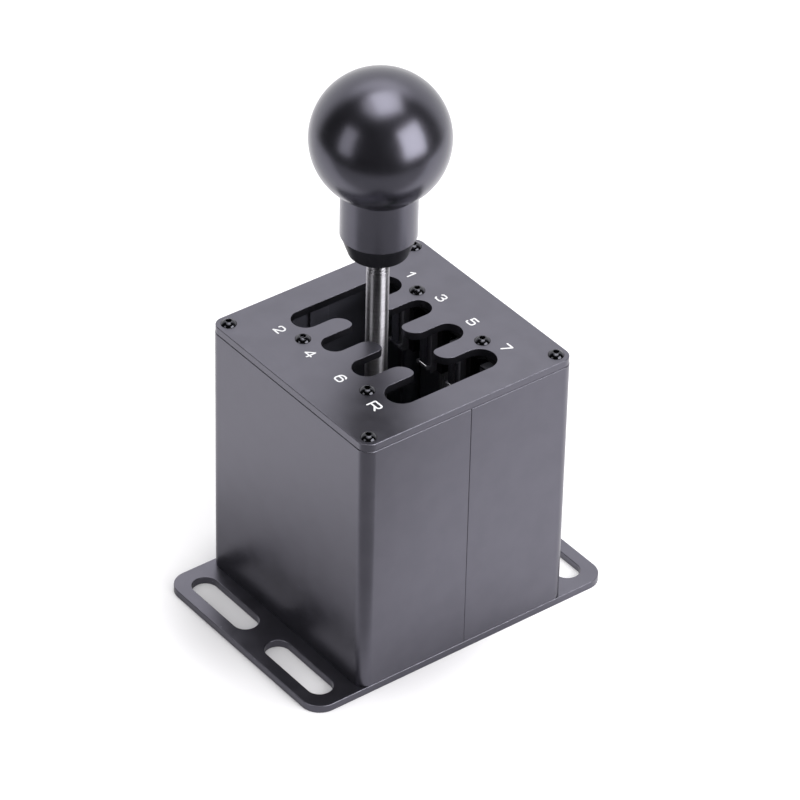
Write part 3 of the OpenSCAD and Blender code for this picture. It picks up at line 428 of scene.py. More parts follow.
class EffectShelf:
    """Builds each shared node group once."""

    coarse_scale: float = 0.37
    coarse_share: float = 0.8
    streak_scale: float = 0.23
    middle_band: Point = (0.3, 0.7)
    wear_band: Point = (0.35, 0.7)

    def __init__(self) -> None:
        """Starts with no group built."""
        self.groups: dict[Effect, bpy.types.NodeTree] = {}

    def get(self, effect: Effect) -> bpy.types.NodeTree:
        """The node group of an effect, made on first use.

        Args:
            effect: The effect.

        Returns:
            Its node group.
        """
        if effect not in self.groups:
            maker = {
                Effect.GRAIN: self.make_grain,
                Effect.LINES: self.make_lines,
                Effect.WEAR: self.make_wear,
                Effect.DUST: self.make_dust,
            }[effect]
            self.groups[effect] = maker(effect.value)
        return self.groups[effect]

    @staticmethod
    def start(
        name: str, inputs: dict[str, object], outputs: list[str]
    ) -> tuple[Graph, dict, bpy.types.Node]:
        """Starts a node group.

        Args:
            name: Name of the group.
            inputs: Names and default values; a value of three numbers makes a vector.
            outputs: Names of the value outputs.

        Returns:
            The graph, the input sockets by name, and the output node.
        """
        tree = bpy.data.node_groups.new(name, "ShaderNodeTree")
        for label, value in inputs.items():
            kind = "NodeSocketVector" if isinstance(value, tuple) else "NodeSocketFloat"
            tree.interface.new_socket(name=label, in_out="INPUT", socket_type=kind).default_value = value
        for label in outputs:
            tree.interface.new_socket(name=label, in_out="OUTPUT", socket_type="NodeSocketFloat")
        graph = Graph(tree)
        entry = graph.add("NodeGroupInput")
        return graph, {label: entry.outputs[label] for label in inputs}, graph.add("NodeGroupOutput")

    def make_grain(self, name: str) -> bpy.types.NodeTree:
        """Bead-blasted grain: two sizes of pits for the height, and a slow mottle of the tone.

        Args:
            name: Name of the group.

        Returns:
            The group.
        """
        graph, entry, exit_node = self.start(name, {"Size": 0.2, "Mottle": 9.0}, ["Height", "Mottle"])
        where = graph.add("ShaderNodeTexCoord").outputs["Object"]
        fine_scale = graph.sum("DIVIDE", 1 / MM, entry["Size"])
        fine = graph.noise(where, fine_scale)
        coarse = graph.noise(where, graph.sum("MULTIPLY", fine_scale, self.coarse_scale))
        slow = graph.noise(where, graph.sum("DIVIDE", 1 / MM, entry["Mottle"]), 3)
        height = graph.sum("ADD", fine, graph.sum("MULTIPLY", coarse, self.coarse_share))
        graph.tree.links.new(height, exit_node.inputs["Height"])
        graph.tree.links.new(graph.ramp(slow, *self.middle_band), exit_node.inputs["Mottle"])
        return graph.tree

    def make_lines(self, name: str) -> bpy.types.NodeTree:
        """Tool marks: noise on coordinates divided by a length along each axis.

        Args:
            name: Name of the group.

        Returns:
            The group.
        """
        graph, entry, exit_node = self.start(name, {"Lengths": (20.0, 20.0, 0.15)}, ["Height", "Streak"])
        where = graph.add("ShaderNodeTexCoord").outputs["Object"]
        lengths = {0: entry["Lengths"], 1: (MM, MM, MM)}
        metres = graph.add("ShaderNodeVectorMath", lengths, operation="MULTIPLY")
        ruled = graph.add("ShaderNodeVectorMath", {0: where, 1: metres.outputs[0]}, operation="DIVIDE")
        height = graph.noise(ruled.outputs[0], 1.0, 3)
        streak = graph.noise(ruled.outputs[0], self.streak_scale)
        graph.tree.links.new(height, exit_node.inputs["Height"])
        graph.tree.links.new(graph.ramp(streak, *self.middle_band), exit_node.inputs["Streak"])
        return graph.tree

    def make_wear(self, name: str) -> bpy.types.NodeTree:
        """Edges rubbed bright in places: the mesh's edge mask times a broken noise.

        Args:
            name: Name of the group.

        Returns:
            The group.
        """
        graph, entry, exit_node = self.start(name, {"Amount": 0.5, "Patch": 3.0}, ["Mask"])
        where = graph.add("ShaderNodeTexCoord").outputs["Object"]
        edge = graph.add("ShaderNodeAttribute", attribute_name="edge").outputs["Fac"]
        patch = graph.noise(where, graph.sum("DIVIDE", 1 / MM, entry["Patch"]), 4)
        rubbed = graph.sum("MULTIPLY", edge, graph.ramp(patch, *self.wear_band))
        graph.tree.links.new(graph.sum("MULTIPLY", rubbed, entry["Amount"]), exit_node.inputs["Mask"])
        return graph.tree

    def make_dust(self, name: str) -> bpy.types.NodeTree:
        """Sparse specks: points of a cell pattern, kept where a second cell value is high.

        Args:
            name: Name of the group.

        Returns:
            The group.
        """
        graph, entry, exit_node = self.start(name, {"Spacing": 4.0, "Share": 0.15, "Speck": 0.05}, ["Mask"])
        where = graph.add("ShaderNodeTexCoord").outputs["Object"]
        scale = graph.sum("DIVIDE", 1 / MM, entry["Spacing"])
        cells = graph.add("ShaderNodeTexVoronoi", {"Vector": where, "Scale": scale})
        near = graph.sum("LESS_THAN", cells.outputs["Distance"], entry["Speck"])
        pick = graph.add("ShaderNodeSeparateColor", {0: cells.outputs["Color"]}).outputs[0]
        kept = graph.sum("LESS_THAN", pick, entry["Share"])
        graph.tree.links.new(graph.sum("MULTIPLY", near, kept), exit_node.inputs["Mask"])
        return graph.tree


EFFECTS = EffectShelf()


@dataclass(frozen=True)
class Finish:
    """One finish: its colour in linear light, its metal share and its roughness."""

    name: str
    colour: Colour
    roughness: float
    metallic: float = 1.0
    grain_size: float = 0.2
    grain_depth: float = 0.002
    dark_share: float = 0.92
    rough_swing: float = 0.06

    def darker(self) -> Colour:
        """The finish's darker tone, for the low places of its pattern."""
        return tuple(self.dark_share * channel for channel in self.colour)

    def rough_range(self) -> Point:
        """Lowest and highest roughness, as the pattern changes it."""
        return (1 - self.rough_swing) * self.roughness, (1 + self.rough_swing) * self.roughness

    def place_effect(self, graph: Graph, effect: Effect, sockets: dict | None = None) -> bpy.types.Node:
        """Places a shared node group with this finish's own values."""
        return graph.add("ShaderNodeGroup", sockets, node_tree=EFFECTS.get(effect))

    def bump(self, graph: Graph, height: bpy.types.NodeSocket, depth: float) -> bpy.types.NodeSocket:
        """A normal from a height, for a relief of the given depth in millimetres."""
        sockets = {"Height": height, "Distance": depth * MM, "Strength": 1.0}
        return graph.add("ShaderNodeBump", sockets).outputs["Normal"]

    def paint(self, graph: Graph, shader: bpy.types.Node) -> None:
        """Feeds the shader: here a grain in the relief and a mottle in colour and roughness.

        Args:
            graph: The material's graph.
            shader: Its Principled BSDF.
        """
        grain = self.place_effect(graph, Effect.GRAIN, {"Size": self.grain_size})
        mottle = grain.outputs["Mottle"]
        graph.tree.links.new(graph.mix(mottle, self.darker(), self.colour), shader.inputs["Base Color"])
        rough = graph.ramp(mottle, 0, 1, *self.rough_range())
        graph.tree.links.new(rough, shader.inputs["Roughness"])
        normal = self.bump(graph, grain.outputs["Height"], self.grain_depth)
        graph.tree.links.new(normal, shader.inputs["Normal"])

    def material(self) -> bpy.types.Material:
        """The material of this finish.

        Returns:
            The material, made on first use.
        """
        known = bpy.data.materials.get(self.name)
        if known:
            return known
        material = bpy.data.materials.new(self.name)
        material.use_nodes = True
        graph = Graph(material.node_tree)
        shader = graph.add("ShaderNodeBsdfPrincipled", {"Metallic": self.metallic})
        graph.add("ShaderNodeOutputMaterial", {"Surface": shader.outputs[0]})
        self.paint(graph, shader)
        return material


@dataclass(frozen=True)
class Anodised(Finish):
    """Blasted and anodised aluminium, with its edges rubbed paler in places and a little dust, and where asked a
    matte colour on the faces inside the box that is painted light, lifting their shade.
    """

    dark_share: float = 0.93
    rough_swing: float = 0.05
    edge_colour: Colour = (0.30, 0.30, 0.34)
    wear: float = 0.5
    dust_share: float = 0.05
    dust_tone: float = 2.2
    dust_rough: float = 0.3
    inner_half: float = 0.0
    inner_low: float = 2.9
    inner_high: float = 104.1
    # painted light: the faces inside the box take this matte colour, which lifts their shade
    inner_shade_lift_colour: Colour = (0.09, 0.09, 0.112)

    def inside(self, graph: Graph) -> bpy.types.NodeSocket:
        """Tells the faces inside the box: |x| and |y| under inner_half, z from inner_low to inner_high.

        Args:
            graph: The material's graph.

        Returns:
            A value that is 1 inside the box and 0 elsewhere.
        """
        where = graph.add("ShaderNodeTexCoord").outputs["Object"]
        axes = graph.add("ShaderNodeSeparateXYZ", {0: where}).outputs
        half = self.inner_half * MM
        share = graph.sum("LESS_THAN", graph.sum("ABSOLUTE", axes[0]), half)
        share = graph.sum("MULTIPLY", share, graph.sum("LESS_THAN", graph.sum("ABSOLUTE", axes[1]), half))
        share = graph.sum("MULTIPLY", share, graph.sum("GREATER_THAN", axes[2], self.inner_low * MM))
        return graph.sum("MULTIPLY", share, graph.sum("LESS_THAN", axes[2], self.inner_high * MM))

    def paint(self, graph: Graph, shader: bpy.types.Node) -> None:
        """Adds worn edges and dust specks to the grain and mottle, and inside the box a matte colour without
        metal, which is painted light: it lifts the shade there.

        Args:
            graph: The material's graph.
            shader: Its Principled BSDF.
        """
        grain = self.place_effect(graph, Effect.GRAIN, {"Size": self.grain_size})
        wear = self.place_effect(graph, Effect.WEAR, {"Amount": self.wear})
        dust = self.place_effect(graph, Effect.DUST, {"Share": self.dust_share})
        mottle, specks = grain.outputs["Mottle"], dust.outputs["Mask"]
        body = graph.mix(mottle, self.darker(), self.colour)
        worn = graph.mix(wear.outputs["Mask"], body, self.edge_colour)
        pale = tuple(min(1.0, self.dust_tone * channel) for channel in self.colour)
        outer = graph.mix(specks, worn, pale)
        # painted light: inside the box the metal gives way to a matte colour that lifts the shade there
        if self.inner_half:
            inside = self.inside(graph)
            outer = graph.mix(inside, outer, self.inner_shade_lift_colour)
            metal = graph.sum("MULTIPLY", graph.sum("SUBTRACT", 1.0, inside), self.metallic)
            graph.tree.links.new(metal, shader.inputs["Metallic"])
        graph.tree.links.new(outer, shader.inputs["Base Color"])
        rough = graph.ramp(mottle, 0, 1, *self.rough_range())
        rough = graph.sum("ADD", rough, graph.sum("MULTIPLY", specks, self.dust_rough))
        graph.tree.links.new(rough, shader.inputs["Roughness"])
        normal = self.bump(graph, grain.outputs["Height"], self.grain_depth)
        graph.tree.links.new(normal, shader.inputs["Normal"])


@dataclass(frozen=True)
class Machined(Finish):
    """Bare metal with the fine lines of its last cut along one direction."""

    dark_share: float = 0.82
    rough_swing: float = 0.15
    line_lengths: Triple = (20.0, 20.0, 0.15)
    line_depth: float = 0.002
    anisotropic: float = 0.0
    anisotropic_turn: float = 0.25

    def paint(self, graph: Graph, shader: bpy.types.Node) -> None:
        """Adds tool marks to the relief, and their streaks to colour and roughness.

        Args:
            graph: The material's graph.
            shader: Its Principled BSDF.
        """
        lines = self.place_effect(graph, Effect.LINES, {"Lengths": self.line_lengths})
        grain = self.place_effect(graph, Effect.GRAIN, {"Size": self.grain_size})
        streak = lines.outputs["Streak"]
        graph.tree.links.new(graph.mix(streak, self.darker(), self.colour), shader.inputs["Base Color"])
        rough = graph.ramp(streak, 0, 1, *reversed(self.rough_range()))
        graph.tree.links.new(rough, shader.inputs["Roughness"])
        first = self.bump(graph, lines.outputs["Height"], self.line_depth)
        sockets = {"Height": grain.outputs["Height"], "Distance": self.grain_depth * MM, "Normal": first}
        both = graph.add("ShaderNodeBump", sockets).outputs["Normal"]
        graph.tree.links.new(both, shader.inputs["Normal"])
        if self.anisotropic:
            shader.inputs["Anisotropic"].default_value = self.anisotropic
            shader.inputs["Anisotropic Rotation"].default_value = self.anisotropic_turn
            tangent = graph.add("ShaderNodeTangent", direction_type="RADIAL", axis="Z")
            graph.tree.links.new(tangent.outputs[0], shader.inputs["Tangent"])


@dataclass(frozen=True)
class CircuitBoard(Finish):
    """Green board lacquer over copper tracks."""

    track_pitch: float = 1.27
    track_share: float = 0.36
    patch_size: float = 7.0
    track_colour: Colour = (0.10, 0.34, 0.13)
    track_height: float = 0.03
    across_below: float = 0.35
    along_above: float = 0.6
    rough_shares: Point = (0.8, 1.1)

    def paint(self, graph: Graph, shader: bpy.types.Node) -> None:
        """Draws tracks as bands along X and Y that switch from cell to cell.

        Args:
            graph: The material's graph.
            shader: Its Principled BSDF.
        """
        where = graph.add("ShaderNodeTexCoord").outputs["Object"]
        axes = graph.add("ShaderNodeSeparateXYZ", {0: where})
        pitch = self.track_pitch * MM
        bands = []
        for axis in (0, 1):
            share = graph.sum("FRACT", graph.sum("DIVIDE", axes.outputs[axis], pitch))
            off_middle = graph.sum("ABSOLUTE", graph.sum("SUBTRACT", share, 0.5))
            bands.append(graph.sum("LESS_THAN", off_middle, self.track_share / 2))
        cells = {"Vector": where, "Scale": 1 / (self.patch_size * MM)}
        patch = graph.add("ShaderNodeTexVoronoi", cells, distance="CHEBYCHEV")
        pick = graph.add("ShaderNodeSeparateColor", {0: patch.outputs["Color"]}).outputs[0]
        across = graph.sum("MULTIPLY", bands[0], graph.sum("LESS_THAN", pick, self.across_below))
        along = graph.sum("MULTIPLY", bands[1], graph.sum("GREATER_THAN", pick, self.along_above))
        track = graph.sum("MAXIMUM", across, along)
        graph.tree.links.new(graph.mix(track, self.colour, self.track_colour), shader.inputs["Base Color"])
        grain = self.place_effect(graph, Effect.GRAIN, {"Size": self.grain_size})
        least, most = (share * self.roughness for share in self.rough_shares)
        rough = graph.ramp(grain.outputs["Mottle"], 0, 1, least, most)
        graph.tree.links.new(rough, shader.inputs["Roughness"])
        graph.tree.links.new(self.bump(graph, track, self.track_height), shader.inputs["Normal"])


@dataclass(frozen=True)
class RibbonCable(Finish):
    """Grey flat cable of round wires side by side."""

    wire_pitch: float = 1.27
    # painted shade: the grooves between the wires take this share of the colour
    dark_share: float = 0.55
    groove_shade_band: float = 0.5
    groove_rough: float = 1.2
    rib_height: float = 0.3

    def paint(self, graph: Graph, shader: bpy.types.Node) -> None:
        """Draws a rounded rib for each wire across X, with painted shade in the grooves between the wires, where
        the colour falls to its darker tone.

        Args:
            graph: The material's graph.
            shader: Its Principled BSDF.
        """
        where = graph.add("ShaderNodeTexCoord").outputs["Object"]
        x = graph.add("ShaderNodeSeparateXYZ", {0: where}).outputs[0]
        turns = graph.sum("MULTIPLY", x, math.tau / (self.wire_pitch * MM))
        rib = graph.sum("ABSOLUTE", graph.sum("SINE", graph.sum("MULTIPLY", turns, 0.5)))
        body = graph.mix(graph.ramp(rib, 0, self.groove_shade_band), self.darker(), self.colour)
        graph.tree.links.new(body, shader.inputs["Base Color"])
        rough = graph.ramp(rib, 0, 1, self.groove_rough * self.roughness, self.roughness)
        graph.tree.links.new(rough, shader.inputs["Roughness"])
        graph.tree.links.new(self.bump(graph, rib, self.rib_height), shader.inputs["Normal"])


class Finishes(Enum):
    """Every finish on the shifter."""

    # BODY's inner_half turns on the painted light that lifts the shade inside the box
    BODY = Anodised(
        "black_anodised_body", (0.110, 0.107, 0.129), 0.33, metallic=0.98,
        grain_size=0.22, grain_depth=0.0022, wear=0.25, inner_half=43.5,
    )
    KNOB = Anodised(
        "black_anodised_knob", (0.090, 0.088, 0.108), 0.26, metallic=0.94,
        grain_size=0.4, grain_depth=0.006, wear=0.0, dust_share=0.01,
    )
    COLLAR = Anodised(
        "matte_black_collar", (0.013, 0.013, 0.017), 0.42, metallic=0.6, grain_size=0.2, grain_depth=0.002,
        wear=0.0, dust_share=0.02,
    )
    SCREWS = Finish("blackened_screws", (0.05, 0.05, 0.057), 0.12, grain_size=0.3, grain_depth=0.0008)
    SHAFT = Machined(
        "polished_shaft", (0.42, 0.41, 0.44), 0.42, grain_size=0.35, grain_depth=0.01,
        line_lengths=(60.0, 60.0, 0.3), line_depth=0.0012, anisotropic=0.95,
    )
    BEARING = Machined("ground_steel", (0.6, 0.6, 0.62), 0.24, line_lengths=(0.3, 14.0, 14.0))
    SPRING = Finish("spring_steel", (0.55, 0.55, 0.57), 0.2, grain_size=0.5, grain_depth=0.001)
    STRIP = Machined(
        "bright_strip", (0.74, 0.74, 0.77), 0.18, line_lengths=(0.2, 10.0, 10.0), line_depth=0.001,
    )
    ALLOY = Machined(
        "milled_alloy", (0.62, 0.63, 0.65), 0.34, line_lengths=(9.0, 0.35, 9.0), line_depth=0.004,
    )
    BRACKET = Finish(
        "black_bracket", (0.14, 0.14, 0.17), 0.55, metallic=0.0, grain_size=0.3, grain_depth=0.003,
    )
    BRASS = Machined("turned_brass", (0.72, 0.50, 0.19), 0.25, line_lengths=(9.0, 0.25, 0.25))
    CASE = Finish(
        "moulded_case", (0.12, 0.12, 0.14), 0.55, metallic=0.0, grain_size=0.35, grain_depth=0.006,
    )
    NUMBERS = Finish(
        "white_numbers", (0.86, 0.86, 0.88), 0.5, metallic=0.0, grain_size=0.25, grain_depth=0.002,
    )
    BOARD = CircuitBoard("green_board", (0.02, 0.16, 0.06), 0.3, metallic=0.0)
    CABLE = RibbonCable("grey_flat_cable", (0.2, 0.2, 0.22), 0.5, metallic=0.0)


def dress(piece: bpy.types.Object, finish: Finishes) -> bpy.types.Object:
    """Gives a piece its finish, in the slots that it has or in a new one.

    Args:
        piece: The piece.
        finish: Its finish.

    Returns:
        The piece.
    """
    material = finish.value.material()
    if not piece.material_slots:
        piece.data.materials.append(material)
    for place in piece.material_slots:
        place.material = material
    return piece


def fit(piece: bpy.types.Object, finish: Finishes, *nodes: str) -> bpy.types.Object:
    """Dresses a piece and puts it in the place of construction nodes, on their body.

    Args:
        piece: The finished piece.
        finish: Its finish.
        *nodes: The nodes that it stands for, all on one body.

    Returns:
        The piece.
    """
    dress(piece, finish)
    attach(piece, BODY_OF[nodes[0]])
    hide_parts(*nodes)
    log.info("%s stands for %s", piece.name, ", ".join(nodes))
    return piece


def rounded_rectangle(half_x: float, half_y: float, radius: float) -> Path:
    """The outline of a centred rectangle with round corners, run anticlockwise."""
    corners = [(-half_x, -half_y), (half_x, -half_y), (half_x, half_y), (-half_x, half_y)]
    return filleted(corners, [radius] * 4, steps=12)


def slot_hole(x: float, y: float, length: float, width: float) -> Path:
    """A slot along X with round ends, run clockwise, so that the material is on its left.

    Args:
        x: Middle of the slot, along X.
        y: Middle of the slot, along Y.
        length: Length over its round ends.
        width: Its width.

    Returns:
        The slot's outline.
    """
    a, b = length / 2, width / 2
    corners = [(x - a, y - b), (x - a, y + b), (x + a, y + b), (x + a, y - b)]
    return filleted(corners, [b * NEARLY] * 4, steps=12)


def plate(surface: Surface, parts: list[tuple[Path, Path]]) -> None:
    """Adds a flat plate: its outline and holes, each with its own side profile.

    Args:
        surface: Takes the plate.
        parts: Outline and profile pairs, the outer outline first, holes run clockwise.
    """
    rings = [surface.sweep(outline, profile) for outline, profile in parts]
    surface.cap([ring[-1] for ring in rings], (0, 0, 1))
    surface.cap([ring[0] for ring in rings], (0, 0, -1))


@dataclass
class BasePlate:
    """The base plate with its four long slots and the screw holes from below."""

    corner_r: float = 7.5
    slot_l: float = 34.0
    slot_w: float = 9.6
    slot_pitch: float = 44.0
    slot_inset: float = 9.8
    edge: float = 0.3
    housing_hole_d: float = 3.4
    housing_head_d: float = 6.4
    floor_hole_d: float = 4.4
    floor_head_d: float = 8.0
    floor_pitch: float = 16.0
    leaf_hole_d: float = 3.1
    leaf_edge: float = 3.7
    leaf_hole_edge: float = 0.1
    sink_edge: float = 0.05
    bore_edge: float = 0.2

    def hole_profile(self, thickness: float, hole_d: float, head_d: float) -> Path:
        """A countersunk hole: offsets from the narrow bore, wide at the underside.

        Args:
            thickness: Thickness of the plate.
            hole_d: Diameter of the bore.
            head_d: Diameter of the sink at the underside.

        Returns:
            The hole's profile from the underside up.
        """
        sink = (head_d - hole_d) / 2
        corners = [(-sink - 1, 0), (-sink, 0), (0, sink), (0, thickness), (-1, thickness)]
        radii = [0, self.sink_edge, self.sink_edge, self.bore_edge, 0]
        return filleted(corners, radii, closed=False, steps=4).part(1, -1)

    def build(self) -> list[bpy.types.Object]:
        """Builds the plate with its slots and holes.

        Returns:
            The plate, in a list.
        """
        low, high = node_box("base_plate")
        wall_low, wall_high = node_box("rear_housing")
        side = edge_profile(low[2], high[2], self.edge, self.edge)
        parts = [(rounded_rectangle(high[0], high[1], self.corner_r), side)]
        for x in (-self.slot_pitch / 2, self.slot_pitch / 2):
            for y in (low[1] + self.slot_inset, high[1] - self.slot_inset):
                parts.append((slot_hole(x, y, self.slot_l, self.slot_w), side))
        inset = wall_high[0] - CORNER_INSET
        rear = wall_low[1] + CORNER_INSET
        sunk = self.hole_profile(high[2], self.housing_hole_d, self.housing_head_d)
        for x in (-inset, inset):
            for y in (rear, -rear):
                parts.append((circle_hole(x, y, self.housing_hole_d / 2), sunk))
        deep = self.hole_profile(high[2], self.floor_hole_d, self.floor_head_d)
        for block in ("left_bearing_block", "right_bearing_block"):
            middle = sum(node_box(block)) / 2
            for y in (-self.floor_pitch / 2, self.floor_pitch / 2):
                parts.append((circle_hole(middle[0], middle[1] + y, self.floor_hole_d / 2), deep))
        leaf_low, leaf_high = node_box("detent_leaf_spring")
        plain = edge_profile(low[2], high[2], self.leaf_hole_edge, self.leaf_hole_edge)
        for y in (leaf_low[1] + self.leaf_edge, leaf_high[1] - self.leaf_edge):
            parts.append((circle_hole((leaf_low[0] + leaf_high[0]) / 2, y, self.leaf_hole_d / 2), plain))
        surface = Surface()
        plate(surface, parts)
        return [fit(surface.build("slotted_base_plate"), Finishes.BODY, "base_plate")]


class Half(Enum):
    """The two halves of the box, by the sign of their side along Y."""

    REAR = -1
    FRONT = 1


@dataclass
class Housing:
    """The box walls: two U-shaped halves that meet in an upright joint on each side."""

    wall: float = 2.0
    corner_r: float = 4.5
    port_r: float = 3.4
    port_points: int = 25
    port_edge: float = 0.15
    bore_r: float = 1.55
    bore_edge: float = 0.15
    bore_sides: int = 28
    seam_edge: float = 0.3
    seam_inner_edge: float = 0.15
    rim_edge: float = 0.3
    lip_foot_edge: float = 0.05
    lip_edge: float = 0.2
    lip_t: float = 1.2
    lip_gap: float = 0.1
    lip_reach: float = 4.0
    usb_w: float = 11.4
    usb_h: float = 5.6
    usb_edge: float = 0.25
    usb_inner_edge: float = 0.2

    def outline(self, half: Half, half_x: float, half_y: float) -> tuple[Path, int]:
        """The U-shaped cross-section of a half, run anticlockwise round its material.

        It is drawn for the rear half and mirrored for the front one. The inner line goes round
        each screw port on an arc from where the port's circle leaves one wall to the other.

        Args:
            half: Which half.
            half_x: Half of the box's width.
            half_y: Half of the box's depth.

        Returns:
            The outline, and the index of the last point before the outer end face's straight.
        """
        x, y = half_x, half_y
        inner_x = x - self.wall
        port_x, port_y = x - CORNER_INSET, y - CORNER_INSET
        reach = math.degrees(math.acos((inner_x - port_x) / self.port_r))
        seam = self.seam_edge
        corners: list[Point] = [(-x, 0), (-x, -y), (x, -y), (x, 0)]
        radii = [seam, self.corner_r, self.corner_r, seam]
        port = arc((port_x, -port_y), self.port_r, reach, 270 - reach, self.port_points)
        if half is Half.REAR:
            lip = inner_x - self.lip_gap
            tab = [(lip, 0), (lip, self.lip_reach), (lip - self.lip_t, self.lip_reach)]
            tab += [(lip - self.lip_t, -self.lip_reach), (inner_x, -self.lip_reach)]
            tab_radii = [self.lip_foot_edge] + [self.lip_edge] * 4
        else:
            tab, tab_radii = [(inner_x, 0)], [self.seam_inner_edge]
        inner = tab + port
        inner_radii = tab_radii + [self.port_edge] + [0.0] * (len(port) - 2) + [self.port_edge]
        mirrored = [(-px, py) for px, py in reversed(inner)]
        corners += inner + mirrored
        radii += inner_radii + inner_radii[::-1]
        path = filleted(corners, radii, steps=8)
        face = int(np.argmin(np.abs(path.points - np.array([-x + self.corner_r, -y])).sum(1)))
        if half is Half.FRONT:
            flip = np.array([1, -1])
            path = Path(path.points[::-1] * flip, path.normals[::-1] * flip)
            face = len(path.points) - 2 - face
        return path, face

    def build_half(self, half: Half) -> bpy.types.Object:
        """Builds one half; the front one has the port for the data cable in its front face.

        Args:
            half: Which half.

        Returns:
            The piece.
        """
        name = {Half.REAR: "rear_housing", Half.FRONT: "front_housing"}[half]
        low, high = node_box(name)
        x, y = high[0], max(abs(low[1]), abs(high[1]))
        outline, face = self.outline(half, x, y)
        side = edge_profile(low[2], high[2], self.rim_edge, self.rim_edge)
        surface = Surface()
        ring = surface.sweep(outline, side)
        tops, bottoms = [ring[-1]], [ring[0]]
        port_x, port_y = x - CORNER_INSET, (y - CORNER_INSET) * half.value
        bore = edge_profile(low[2], high[2], self.bore_edge, self.bore_edge)
        for px in (-port_x, port_x):
            hole = surface.sweep(circle_hole(px, port_y, self.bore_r, self.bore_sides), bore)
            tops.append(hole[-1])
            bottoms.append(hole[0])
        surface.cap(tops, (0, 0, 1))
        surface.cap(bottoms, (0, 0, -1))
        if half is Half.FRONT:
            self.cut_usb_port(surface, ring, face, y)
        return fit(surface.build(name.replace("housing", "half_of_box")), Finishes.BODY, name)

    def cut_usb_port(self, surface: Surface, ring: np.ndarray, face: int, depth: float) -> None:
        """Opens the data port in the front wall.

        The wall's two flat quads are taken out, and flat faces round the port's rims close them.

        Args:
            surface: The half's surface.
            ring: Indices of its sweep, by height and outline.
            face: Index along the outline of the outer front face's first point.
            depth: Half of the box's depth.
        """
        low, high = node_box("usb_socket")
        middle = (low + high) / 2
        row = ring.shape[0] // 2 - 1
        points = np.concatenate(surface.points)
        inner = self.inner_face(points[ring[row]], depth - self.wall)
        hole = slot_hole(middle[0], middle[2], self.usb_w, self.usb_h)
        turn = Matrix(((1, 0, 0, 0), (0, 0, -1, 0), (0, 1, 0, 0), (0, 0, 0, 1)))
        side = edge_profile(-depth, self.wall - depth, self.usb_edge, self.usb_inner_edge)
        tube = surface.sweep(hole, side, turn)
        for column, rim, facing in ((face, tube[0], (0, 1, 0)), (inner, tube[-1], (0, -1, 0))):
            quad = [*ring[row, column:column + 2], *ring[row + 1, column:column + 2][::-1]]
            walls = surface.faces[0]
            surface.faces[0] = walls[~(np.sort(walls, 1) == np.sort(quad)).all(1)]
            surface.cap([np.array(quad), rim], facing)

    @staticmethod
    def inner_face(points: np.ndarray, inner_y: float) -> int:
        """Finds the long straight on the inner side of the front wall.

        Args:
            points: Points of one level of the half's sweep.
            inner_y: The wall's inner side, along Y.

        Returns:
            Index of the straight's first point.
        """
        on_wall = np.isclose(points[:, 1], inner_y, atol=1e-3)
        span = np.abs(np.diff(points[:, 0], append=points[-1:, 0]))
        return int(np.argmax(np.where(on_wall & np.roll(on_wall, -1), span, 0)))

    def build(self) -> list[bpy.types.Object]:
        """Builds both halves."""
        return [self.build_half(half) for half in Half]


